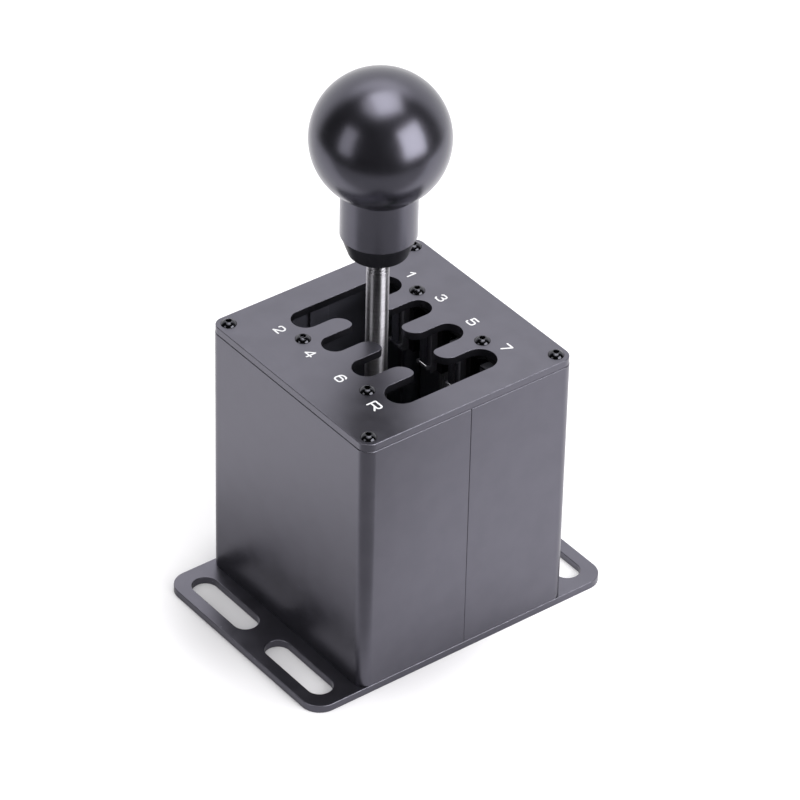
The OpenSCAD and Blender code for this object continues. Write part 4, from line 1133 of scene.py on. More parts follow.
@dataclass
class Numerals:
    """The painted gear numbers: strokes with round ends on a unit square, of one line width."""

    line: float = 0.66
    width: float = 3.7
    wide: float = 4.9
    height: float = 4.2
    paint: float = 0.02
    climb: float = 0.03
    end_points: int = 13
    strokes: dict[str, list[tuple[list[Point], list[float]]]] = field(default_factory=lambda: {
        "1": [([(0.2, 0.72), (0.62, 1), (0.62, 0)], [0, 0.02, 0])],
        "2": [
            ([(0.04, 0.72), (0.04, 1), (0.95, 1), (0.95, 0.55), (0, 0), (1, 0)],
             [0, 0.24, 0.26, 0.2, 0.02, 0]),
        ],
        "3": [
            ([(0.08, 0.86), (0.2, 1), (0.9, 1), (0.9, 0.54), (0.4, 0.54)], [0, 0.1, 0.23, 0.23, 0]),
            ([(0.4, 0.54), (1, 0.54), (1, 0), (0.14, 0), (0, 0.16)], [0, 0.27, 0.27, 0.1, 0]),
        ],
        "4": [([(0.74, -0.03), (0.74, 1.03), (-0.06, 0.28), (1.03, 0.28)], [0, 0.02, 0.02, 0])],
        "5": [
            ([(0.9, 1), (0.12, 1), (0.08, 0.57), (1, 0.6), (1, 0), (0, 0), (0, 0.2)],
             [0, 0.02, 0.02, 0.27, 0.27, 0.18, 0]),
        ],
        "6": [
            ([(0.92, 0.86), (0.8, 1), (0.02, 1), (0, 0), (1, 0), (1, 0.6), (0, 0.6), (0, 0.28)],
             [0, 0.1, 0.42, 0.28, 0.28, 0.28, 0.27, 0]),
        ],
        "7": [([(0, 1), (1, 1), (0.36, 0)], [0, 0.04, 0])],
        "R": [
            ([(0, 0), (0, 1), (1, 1), (1, 0.43), (0.03, 0.43)], [0, 0.02, 0.26, 0.26, 0]),
            ([(0.52, 0.43), (1, 0)], [0, 0]),
        ],
    })

    def stroke(self, surface: Surface, corners: list[Point], radii: list[float], place: tuple) -> None:
        """Adds one painted stroke.

        The middle line is rounded and widened to both sides by half the line width, and a half
        disc closes each end: end point + half * (cos a * normal + sin a * forward). The paint
        climbs a little along the stroke, so that a stroke that crosses itself lies over itself.

        Args:
            surface: Takes the stroke.
            corners: The middle line on the unit square.
            radii: Its corner radii, on the same square.
            place: Left edge, lower edge, width, height and level of the numeral.
        """
        left, low, width, height, level = place
        scale = np.array([width - self.line, height - self.line])
        drawn = np.array(corners) * scale + np.array([left, low]) + self.line / 2
        bends = [radius * float(scale.mean()) for radius in radii]
        middle = filleted([tuple(p) for p in drawn], bends, closed=False, steps=8)
        half = self.line / 2
        band = np.stack([middle.points + half * middle.normals, middle.points - half * middle.normals])
        heights = level + self.paint + self.climb * np.linspace(0, 1, band.shape[1])
        rise = np.broadcast_to(heights[None, :, None], band.shape[:2] + (1,))
        up = np.array([0.0, 0.0, 1.0])
        points = np.concatenate([band, rise], -1)
        index = surface.add_points(points, np.broadcast_to(up, points.shape))
        surface.add_grid(index, wrap_columns=False)
        turn = np.radians(np.linspace(0, 180, self.end_points))[:, None]
        for end, way in ((-1, 1), (0, -1)):
            normal = way * middle.normals[end]
            forward = np.array([-normal[1], normal[0]])
            disc = middle.points[end] + half * (np.cos(turn) * normal + np.sin(turn) * forward)
            disc = np.concatenate([disc, np.full((len(disc), 1), heights[end])], 1)
            surface.faces.append(surface.add_points(disc, np.broadcast_to(up, disc.shape))[None])

    def build(self, spots: dict[str, Point], level: float) -> bpy.types.Object:
        """Builds every numeral as one painted layer.

        Args:
            spots: Middle of each numeral.
            level: Height of the surface that they are painted on.

        Returns:
            The new object.
        """
        surface = Surface()
        for text, (x, y) in spots.items():
            width = self.wide if text == "R" else self.width
            place = (x - width / 2, y - self.height / 2, width, self.height, level)
            for order, (corners, radii) in enumerate(self.strokes[text]):
                self.stroke(surface, corners, radii, (*place[:4], level + order * self.climb))
        return surface.build("gear_numbers")


@dataclass
class GatePlate:
    """The gate plate with its H-shaped opening, and the gear numbers painted on it."""

    corner_r: float = 4.35
    slots: tuple[float, ...] = (10.5, 9.5, 10.5, 12.0)
    tongue_w: float = 7.6
    nose_r: float = 2.4
    neutral_w: float = 12.0
    border: float = 22.15
    middle_x: float = 0.35
    inner_gap: float = 1.95
    inner_shift: float = 1.8
    hole_r: float = 1.7
    hole_sides: int = 28
    edge: float = 0.28
    under_edge: float = 0.2
    gate_edge: float = 0.12
    gate_under_edge: float = 0.15
    front_numbers_y: float = 28.93
    rear_numbers_y: float = -28.05
    rear_numbers_shift: float = -0.1
    reverse_shift: float = 0.65

    def lefts(self) -> list[float]:
        """Places of the columns.

        Returns:
            The left side of each column, along X.
        """
        width = sum(self.slots) + self.tongue_w * (len(self.slots) - 1)
        start = self.middle_x - width / 2
        return [start + sum(self.slots[:i]) + self.tongue_w * i for i in range(len(self.slots))]

    def gate_outline(self, half_len: float, middle_y: float) -> Path:
        """The gate opening, run clockwise so that the plate is on its left.

        From the front left it goes round each front slot's end and each tongue's tip, then back
        along the rear slots. A tongue's tip has a small radius on one side and takes up the rest
        of its width with a large one on the other, and the rear tongues are the front ones turned
        by half a turn.

        Args:
            half_len: Half of the opening's length.
            middle_y: Middle of the opening along Y.

        Returns:
            The outline.
        """
        flank_r = self.tongue_w - self.nose_r
        tip = self.neutral_w / 2
        lefts = self.lefts()
        front, front_radii, rear, rear_radii = [], [], [], []
        for i, (left, width) in enumerate(zip(lefts, self.slots)):
            right = left + width
            full = width / 2 * NEARLY
            front += [(left, middle_y + half_len), (right, middle_y + half_len)]
            front_radii += [full, full]
            rear += [(left, middle_y - half_len), (right, middle_y - half_len)]
            rear_radii += [full, full]
            if i < len(lefts) - 1:
                front += [(right, middle_y + tip), (lefts[i + 1], middle_y + tip)]
                front_radii += [self.nose_r, flank_r * NEARLY]
                rear += [(right, middle_y - tip), (lefts[i + 1], middle_y - tip)]
                rear_radii += [flank_r * NEARLY, self.nose_r]
        return filleted(front + rear[::-1], front_radii + rear_radii[::-1], steps=12)

    def build(self) -> list[bpy.types.Object]:
        """Builds the plate and its numbers.

        Returns:
            The plate and the layer of numbers.
        """
        low, high = node_box("gate_plate")
        wall_high = node_box("front_housing")[1]
        half_len = wall_high[1] - self.border
        side = edge_profile(low[2], high[2], self.under_edge, self.edge)
        parts = [(rounded_rectangle(high[0], high[1], self.corner_r), side)]
        inner_edge = edge_profile(low[2], high[2], self.gate_under_edge, self.gate_edge)
        parts.append((self.gate_outline(half_len, PIVOT[1]), inner_edge))
        for x, y in self.screw_spots(wall_high, half_len):
            parts.append((circle_hole(x, y, self.hole_r, self.hole_sides), inner_edge))
        surface = Surface()
        plate(surface, parts)
        gate = fit(surface.build("slotted_gate_plate"), Finishes.BODY, "gate_plate")
        spots = {}
        for i, (left, width) in enumerate(zip(self.lefts(), self.slots)):
            x = left + width / 2
            spots["1357"[i]] = (x, self.front_numbers_y)
            spots["246R"[i]] = (x + self.rear_numbers_shift, self.rear_numbers_y)
        spots["R"] = (spots["R"][0] + self.reverse_shift, self.rear_numbers_y)
        numbers = Numerals().build(spots, high[2])
        dress(numbers, Finishes.NUMBERS)
        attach(numbers, BODY_OF["gate_plate"])
        return [gate, numbers]

    def screw_spots(self, wall_high: np.ndarray, half_len: float) -> list[Point]:
        """Places of the plate's screws.

        Args:
            wall_high: Highest corner of the front half of the box.
            half_len: Half of the gate opening's length.

        Returns:
            Middles of the four corner screws, then of the four inner ones.
        """
        x, y = wall_high[0] - CORNER_INSET, wall_high[1] - CORNER_INSET
        lefts = self.lefts()
        inner_xs = (lefts[1] - self.tongue_w / 2, lefts[3] - self.tongue_w / 2 + self.inner_shift)
        inner_y = half_len + self.inner_gap
        corners = [(sx * x, sy * y) for sx in (-1, 1) for sy in (-1, 1)]
        return corners + [(sx, sy * inner_y) for sx in inner_xs for sy in (-1, 1)]


@dataclass
class Lever:
    """The lever: threaded shaft, black collar and the ball knob with its neck."""

    shaft_r: float = 4.0
    shaft_edge: float = 0.5
    ball_r: float = 24.5
    ball_points: int = 97
    neck_r: float = 13.5
    neck_edge: float = 0.3
    neck_fillet: float = 0.8
    fillet_points: int = 9
    knob_sides: int = 160
    insert_r: float = 6.01
    insert_depth: float = 22.0
    insert_end_edge: float = 0.1
    insert_edge: float = 0.2
    collar_low_r: float = 10.85
    collar_edge: float = 1.2
    collar_top_edge: float = 0.3
    collar_sides: int = 128
    bore_gap: float = 0.01
    bore_edge: float = 0.1
    thread_pitch: float = 1.25
    thread_depth: float = 0.62
    thread_below: float = 7.8
    pitch_rows: int = 12
    thread_sides: int = 96
    join_gap: float = 0.001

    def place(self) -> Matrix:
        """The lever's axis at rest."""
        return Matrix.Translation(Vector((PIVOT[0], PIVOT[1], 0)))

    def knob(self) -> bpy.types.Object:
        """The knob: a ball on a neck, with a small hollow fillet where they meet.

        The fillet's middle lies one fillet radius outside the neck and as far outside the ball.

        Returns:
            The piece.
        """
        low, high = node_box("shift_knob")
        bottom, centre = low[2], high[2] - self.ball_r
        out = self.neck_r + self.neck_fillet
        far = self.ball_r + self.neck_fillet
        drop = math.sqrt(far * far - out * out)
        lean = math.degrees(math.atan2(drop, -out))
        blend = arc((out, centre - drop), self.neck_fillet, 180, lean, self.fillet_points)
        start = math.degrees(math.atan2(-drop, out))
        ball = arc((0, centre), self.ball_r, start, 90, self.ball_points)
        corners = [(0, bottom + self.insert_depth), (self.insert_r, bottom + self.insert_depth)]
        corners += [(self.insert_r, bottom), (self.neck_r, bottom)]
        radii = [0, self.insert_end_edge, self.insert_edge, self.neck_edge]
        corners += blend[:-1] + ball
        radii += [0.0] * (len(blend) - 1 + len(ball))
        surface = Surface()
        profile = filleted(corners, radii, closed=False)
        profile.normals[0] = (0, -1)
        profile.normals[-1] = (0, 1)
        surface.lathe(profile, self.knob_sides, place=self.place())
        return fit(surface.build("ball_knob"), Finishes.KNOB, "shift_knob")

    def collar(self) -> bpy.types.Object:
        """The black collar under the neck: a cone that narrows down to its round lower edge.

        Returns:
            The piece.
        """
        low, high = node_box("knob_collar")
        top_r, height = (high[0] - low[0]) / 2, high[2] - low[2]
        widening = (top_r - self.collar_low_r) / (height - self.collar_edge)
        foot_r = self.collar_low_r - self.collar_edge * widening
        bore = self.shaft_r + self.bore_gap
        corners = [(bore, low[2]), (foot_r, low[2]), (top_r, high[2]), (bore, high[2])]
        radii = [self.bore_edge, self.collar_edge, self.collar_top_edge, self.bore_edge]
        surface = Surface()
        surface.lathe(filleted(corners, radii), self.collar_sides, closed=True, place=self.place())
        return fit(surface.build("black_collar"), Finishes.COLLAR, "knob_collar")

    def shaft(self) -> bpy.types.Object:
        """The shaft, from its seat in the lever block up into the knob's insert.

        Its upper end is threaded. The radius there is the shaft's, less the thread's depth times
        (1 + cos(turn)) / 2, where turn is the height in pitches less the angle round the shaft,
        and the depth grows from nothing over the first pitch.

        Returns:
            The piece.
        """
        low, high = node_box("shift_shaft")
        start = node_box("knob_collar")[0][2] - self.thread_below
        corners = [(0, low[2]), (self.shaft_r, low[2]), (self.shaft_r, start)]
        foot = filleted(corners, [0, self.shaft_edge, 0], closed=False)
        count = round((high[2] - start) / self.thread_pitch * self.pitch_rows)
        level = np.linspace(start, high[2], count)[:, None]
        angle = np.linspace(0, math.tau, self.thread_sides, endpoint=False)[None]
        phase = math.tau * (level - start) / self.thread_pitch - angle
        depth = self.thread_depth * np.clip((level - start) / self.thread_pitch, 0, 1)
        tip = np.clip((high[2] - level) / self.shaft_edge, 0, 1)
        radius = self.shaft_r - depth * (1 + np.cos(phase)) / 2 - (1 - tip) * self.shaft_edge
        points = np.stack([radius * np.cos(angle), radius * np.sin(angle), level + 0 * angle], -1)
        points += np.array(self.place().translation)
        surface = Surface()
        surface.lathe(foot, self.thread_sides, place=self.place())
        index = surface.add_points(points, np.zeros_like(points))
        surface.add_grid(index)
        surface.faces.append(index[-1][None])
        piece = surface.build("steel_shaft", crease=50)
        merge(piece, self.join_gap)
        return fit(piece, Finishes.SHAFT, "shift_shaft")

    def build(self) -> list[bpy.types.Object]:
        """Builds the lever's three turned pieces."""
        return [self.knob(), self.collar(), self.shaft()]


class Head(Enum):
    """The two kinds of screw head."""

    BUTTON = "button"
    FLAT = "flat"


@dataclass(frozen=True)
class Screw:
    """One socket screw: its head stands on z = 0, its shank points down.

    The socket's depth is a share of the head's height, and the radii in mouth are shares of the
    hexagon's: its floor's rim, its mouth's rim, and where a button head's dome and a flat head's
    top begin.
    """

    shank_d: float
    head_d: float
    head_h: float
    length: float
    socket: float
    head: Head = Head.BUTTON
    socket_depth: float = 0.65
    mouth: tuple[float, float, float, float] = (0.96, 1.06, 1.12, 1.15)
    mouth_round: float = 0.85
    mouth_bevel: Point = (0.07, 0.01)
    drill_mark: float = 0.12
    dome_end: float = 0.985
    dome_points: int = 9
    rim: Point = (0.12, 0.03)
    edge: float = 0.05
    neck: float = 0.08
    tip: float = 0.3
    pole_r: float = 0.001
    sides: int = 48

    def rows(self) -> tuple[np.ndarray, np.ndarray, np.ndarray]:
        """The screw's rings, from the socket's floor outwards and down to the tip.

        A button head's dome is an arc through its rim and its top: with half width a and height h
        its radius is (a * a + h * h) / (2 * h). A flat head is a cone under a flat top.

        Returns:
            Radius, height and share of hexagon of each ring.
        """
        a, h, shank = self.head_d / 2, self.head_h, self.shank_d / 2
        hexagon = self.socket / math.sqrt(3)
        floor_share, mouth_share, dome_share, flat_share = self.mouth
        if self.head is Head.BUTTON:
            dome_r = (a * a + h * h) / (2 * h)
            out = np.linspace(hexagon * dome_share, a * self.dome_end, self.dome_points)
            dome = [(r, h - dome_r + math.sqrt(dome_r * dome_r - r * r), 0.0) for r in out]
            top = dome[0][1]
            rim = [(a, self.rim[0], 0.0), (a, self.rim[1], 0.0), (a - self.edge, 0.0, 0.0)]
            rim += [(shank + self.neck, 0.0, 0.0), (shank, -self.neck, 0.0)]
        else:
            top = 0.0
            dome = [(hexagon * flat_share, top, 0.0), (a - self.neck, top, 0.0), (a, -self.neck, 0.0)]
            rim = [(shank + self.edge, shank - a, 0.0), (shank, shank - a - self.edge, 0.0)]
        floor = top - self.socket_depth * h
        rings = [(self.pole_r, floor - self.drill_mark, 0.0), (hexagon * floor_share, floor, 1.0)]
        rings += [(hexagon, floor + self.edge, 1.0), (hexagon, top - self.mouth_bevel[0], 1.0)]
        rings += [(hexagon * mouth_share, top - self.mouth_bevel[1], self.mouth_round)] + dome + rim
        rings += [(shank, self.tip - self.length, 0.0), (shank - self.tip, -self.length, 0.0)]
        rings += [(self.pole_r, -self.length, 0.0)]
        table = np.array(rings)
        return table[:, 0], table[:, 1], table[:, 2]

    def add_to(self, surface: Surface, place: Matrix, spin: float) -> None:
        """Adds the screw to a surface.

        A ring's radius is its own value times one, or times cos 30 / cos(angle from the middle of
        the hexagon's side), mixed by its share of hexagon.

        Args:
            surface: Takes the screw.
            place: Where its head stands; local +Z points out of the head.
            spin: Turn of its socket in degrees.
        """
        radius, height, share = self.rows()
        angle = np.linspace(0, 2 * math.pi, self.sides, endpoint=False)
        off_side = np.mod(angle, math.pi / 3) - math.pi / 6
        flats = math.cos(math.pi / 6) / np.cos(off_side)
        reach = radius[:, None] * (1 + share[:, None] * (flats[None] - 1))
        turned = angle + math.radians(spin)
        rise = np.broadcast_to(height[:, None], reach.shape)
        points = np.stack([reach * np.cos(turned), reach * np.sin(turned), rise], -1)
        points, normals = placed(points, np.zeros_like(points), place)
        surface.add_grid(surface.add_points(points[::-1], normals))


@dataclass
class Fasteners:
    """Every group of screws, each group as one piece."""

    base: BasePlate
    gate: GatePlate
    gate_screw: Screw = Screw(3, 5.7, 1.65, 8, 2.0)
    wall_screw: Screw = Screw(3, 6, 1.5, 10, 2.0, Head.FLAT)
    floor_screw: Screw = Screw(4, 7.6, 1.8, 10, 2.5, Head.FLAT)
    leaf_screw: Screw = Screw(3, 5.7, 1.65, 3.4, 2.0)
    board_screw: Screw = Screw(2.5, 4.4, 1.5, 5.2, 1.5)
    switch_screw: Screw = Screw(2, 3.6, 1.3, 9, 1.3, sides=36)
    first_turn: float = 9.0
    next_turn: float = 47.0
    leaf_t: float = 0.6
    post_r: float = 2.5
    switch_back: float = 9.0
    switch_rise: Point = (5.2, 14.7)
    join_gap: float = 0.002

    def group(self, name: str, node: str, screw: Screw, places: list[Matrix]) -> bpy.types.Object:
        """Builds a group of like screws in the place of their node.

        Args:
            name: Name of the piece.
            node: The construction node that holds the group.
            screw: The screw.
            places: Where each stands.

        Returns:
            The piece.
        """
        surface = Surface()
        for k, place in enumerate(places):
            screw.add_to(surface, place, k * self.next_turn + self.first_turn)
        piece = surface.build(name, crease=38)
        merge(piece, self.join_gap)
        return fit(piece, Finishes.SCREWS, node)

    def build(self) -> list[bpy.types.Object]:
        """Builds the screws of the plates, the floor, the leaf, the board and the switches.

        Returns:
            One piece for each group.
        """
        top = node_box("gate_plate")[1][2]
        wall_high = node_box("front_housing")[1]
        spots = self.gate.screw_spots(wall_high, wall_high[1] - self.gate.border)
        flip = Matrix.Rotation(math.pi, 4, "X")
        gate = [Matrix.Translation((x, y, top)) for x, y in spots]
        wall = [Matrix.Translation((x, y, 0)) @ flip for x, y in spots[:4]]
        floor = []
        for block in ("left_bearing_block", "right_bearing_block"):
            middle = sum(node_box(block)) / 2
            for y in (-self.base.floor_pitch / 2, self.base.floor_pitch / 2):
                floor.append(Matrix.Translation((middle[0], middle[1] + y, 0)) @ flip)
        leaf_low, leaf_high = node_box("detent_leaf_spring")
        seat = node_box("base_plate")[1][2] + self.leaf_t
        leaf = [Matrix.Translation(((leaf_low[0] + leaf_high[0]) / 2, y, seat))
                for y in (leaf_low[1] + self.base.leaf_edge, leaf_high[1] - self.base.leaf_edge)]
        return [
            self.group("gate_plate_screws", "gate_screws", self.gate_screw, gate),
            self.group("box_wall_screws", "housing_screws", self.wall_screw, wall),
            self.group("bearing_block_screws", "floor_screws", self.floor_screw, floor),
            self.group("leaf_spring_screws", "detent_screws", self.leaf_screw, leaf),
            self.board_screws(),
            self.switch_screws(),
        ]

    def board_screws(self) -> bpy.types.Object:
        """The four screws of the control board, over its standoffs.

        Returns:
            The piece.
        """
        low, high = node_box("board_standoffs")
        level = node_box("board_screws")[1][2] - self.board_screw.head_h
        places = [Matrix.Translation((x, y, level))
                  for x in (low[0] + self.post_r, high[0] - self.post_r)
                  for y in (low[1] + self.post_r, high[1] - self.post_r)]
        return self.group("control_board_screws", "board_screws", self.board_screw, places)

    def switch_screws(self) -> bpy.types.Object:
        """The two screws of each switch, from its left side.

        Returns:
            The piece.
        """
        turn = Matrix.Rotation(-math.pi / 2, 4, "Y")
        places = []
        for gear in GEARS:
            low, high = node_box(f"switch_{gear}")
            front = gear in GEARS[:4]
            back = (high[1] - self.switch_back) if front else (low[1] + self.switch_back)
            for rise in self.switch_rise:
                places.append(Matrix.Translation((low[0], back, low[2] + rise)) @ turn)
        return self.group("switch_fixing_screws", "switch_screws", self.switch_screw, places)


def merge(piece: bpy.types.Object, distance: float) -> None:
    """Merges points of a mesh that lie close together, and turns its faces outwards.

    Args:
        piece: The piece.
        distance: How close the points are, in millimetres.
    """
    work = bmesh.new()
    work.from_mesh(piece.data)
    bmesh.ops.remove_doubles(work, verts=work.verts, dist=distance * MM)
    bmesh.ops.recalc_face_normals(work, faces=work.faces)
    work.to_mesh(piece.data)
    work.free()


@dataclass
class CentringSprings:
    """The two coil springs on the guide rod."""

    wire_d: float = 0.6
    outer_d: float = 7.0
    turns: float = 5.0
    end_pitch: float = 0.68
    squeezed: float = 0.34
    steps: int = 36
    sides: int = 12
    join_gap: float = 0.001

    def coil(self, name: str, node: str) -> bpy.types.Object:
        """Builds one spring along X, with its end turns wound close.

        The centre line is (x, R cos a, R sin a): the angle a grows evenly, and x grows by the end
        pitch over the first and last turn and evenly over the rest. The wire's ring at each step
        is the line's point plus its radius times (cos b * outward + sin b * sideways).

        Args:
            name: Name of the spring.
            node: The construction node that it stands for.

        Returns:
            The spring, built at rest; the real one shortens towards its seat as the lever leans sideways.
        """
        low, high = node_box(node)
        middle = (low + high) / 2
        mean_r = (self.outer_d - self.wire_d) / 2
        length = high[0] - low[0] - self.wire_d
        turn = np.linspace(0, self.turns, int(self.turns * self.steps) + 1)
        knots = [0, 1, self.turns - 1, self.turns]
        x = np.interp(turn, knots, [0, self.end_pitch, length - self.end_pitch, length])
        angle = turn * math.tau
        outward = np.stack([np.zeros_like(x), np.cos(angle), np.sin(angle)], -1)
        axis = np.stack([x + low[0] + self.wire_d / 2, x * 0 + middle[1], x * 0 + middle[2]], -1)
        centre = outward * mean_r + axis
        along = np.gradient(centre, axis=0)
        along /= np.linalg.norm(along, axis=1, keepdims=True)
        sideways = np.cross(along, outward)
        b = np.linspace(0, math.tau, self.sides, endpoint=False)
        normals = np.cos(b)[None, :, None] * outward[:, None] + np.sin(b)[None, :, None] * sideways[:, None]
        points = centre[:, None] + self.wire_d / 2 * normals
        surface = Surface()
        index = surface.add_points(points, normals)
        surface.add_grid(index)
        for end, flip in ((0, 1), (-1, -1)):
            row = index[end]
            pole = surface.add_points(centre[end][None], -flip * along[end][None])[0]
            surface.faces.append(np.stack([np.roll(row, -1), row, np.full_like(row, pole)], -1)[:, ::flip])
        piece = surface.build(name, crease=60)
        merge(piece, self.join_gap)
        fit(piece, Finishes.SPRING, node)
        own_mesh(piece)
        return piece

    def build(self) -> list[bpy.types.Object]:
        """Builds both springs.

        Returns:
            The two pieces.
        """
        return [
            self.coil("left_coil", "left_centring_spring"),
            self.coil("right_coil", "right_centring_spring"),
        ]


@dataclass
class InnerWorks:
    """The pieces inside the box: copies of their construction solids with broken edges."""

    eased: dict[str, tuple[Finishes, float]] = field(default_factory=lambda: {
        "left_bearing_block": (Finishes.ALLOY, 0.3),
        "right_bearing_block": (Finishes.ALLOY, 0.3),
        "gimbal_frame": (Finishes.ALLOY, 0.3),
        "lever_block": (Finishes.ALLOY, 0.3),
        "front_switch_bracket": (Finishes.BRACKET, 0.2),
        "rear_switch_bracket": (Finishes.BRACKET, 0.2),
        **{f"switch_{gear}": (Finishes.CASE, 0.15) for gear in GEARS},
    })
    plain: dict[str, Finishes] = field(default_factory=lambda: {
        "bearing_outer_races": Finishes.BEARING,
        "bearing_inner_races": Finishes.BEARING,
        "bearing_balls": Finishes.BEARING,
        "trunnions": Finishes.BEARING,
        "trunnion_spacers": Finishes.ALLOY,
        "retaining_clips": Finishes.SPRING,
        "select_pin": Finishes.BEARING,
        "spring_guide_rod": Finishes.BEARING,
        "detent_sector": Finishes.BEARING,
        "detent_leaf_spring": Finishes.SPRING,
        "control_board": Finishes.BOARD,
        "board_standoffs": Finishes.BRASS,
        "usb_socket": Finishes.STRIP,
        "front_flat_cable": Finishes.CABLE,
        "rear_flat_cable": Finishes.CABLE,
        "lever_bushes": Finishes.BRASS,
        "shaft_lock_nut": Finishes.BEARING,
        "knob_insert": Finishes.BRASS,
        **{f"switch_lever_{gear}": Finishes.STRIP for gear in GEARS},
    })
    join_gap: float = 0.002
    flat_angle: float = 0.5
    edge_angle: float = 35.0
    edge_steps: int = 2
    face_weight: int = 100

    def ease(self, node: str, finish: Finishes, width: float) -> bpy.types.Object:
        """Copies a node's solid, joins its flat faces and breaks its edges.

        Args:
            node: The construction node.
            finish: Finish of the copy.
            width: Width of the broken edges.

        Returns:
            The piece that stands for the node.
        """
        piece = bpy.data.objects.new(f"{node}_eased", frame["nodes"][node].data.copy())
        bpy.context.scene.collection.objects.link(piece)
        work = bmesh.new()
        work.from_mesh(piece.data)
        bmesh.ops.remove_doubles(work, verts=work.verts, dist=self.join_gap * MM)
        bmesh.ops.dissolve_limit(
            work, angle_limit=math.radians(self.flat_angle), use_dissolve_boundaries=False,
            verts=work.verts, edges=work.edges,
        )
        work.to_mesh(piece.data)
        work.free()
        piece.data.polygons.foreach_set("use_smooth", np.ones(len(piece.data.polygons), bool))
        bevel = piece.modifiers.new("broken_edges", "BEVEL")
        bevel.width, bevel.segments = width * MM, self.edge_steps
        bevel.limit_method, bevel.angle_limit = "ANGLE", math.radians(self.edge_angle)
        bevel.use_clamp_overlap = False
        normal = piece.modifiers.new("flat_faces", "WEIGHTED_NORMAL")
        normal.weight = self.face_weight
        return fit(piece, finish, node)

    def build(self) -> list[bpy.types.Object]:
        """Eases the cut and moulded pieces, and dresses the others as they are.

        Returns:
            The eased pieces.
        """
        made = [self.ease(node, finish, width) for node, (finish, width) in self.eased.items()]
        for node, finish in self.plain.items():
            dress(frame["nodes"][node], finish)
            log.info("%s is dressed as it is", node)
        return made


@dataclass
class Lamp:
    """A soft box: where it stands, seen from the object, its size and its power."""

    name: str
    direction: Triple
    distance: float
    width: float
    height: float
    power: float

    def build(self, target: Vector) -> None:
        """Makes the area light.

        Args:
            target: What it faces, in metres.
        """
        light = bpy.data.lights.new(self.name, "AREA")
        light.shape, light.energy = "RECTANGLE", self.power
        light.size, light.size_y = self.width, self.height
        lamp = bpy.data.objects.new(self.name, light)
        towards = Vector(self.direction).normalized()
        lamp.location = target + towards * self.distance
        lamp.rotation_euler = towards.to_track_quat("Z", "Y").to_euler()
        bpy.context.scene.collection.objects.link(lamp)


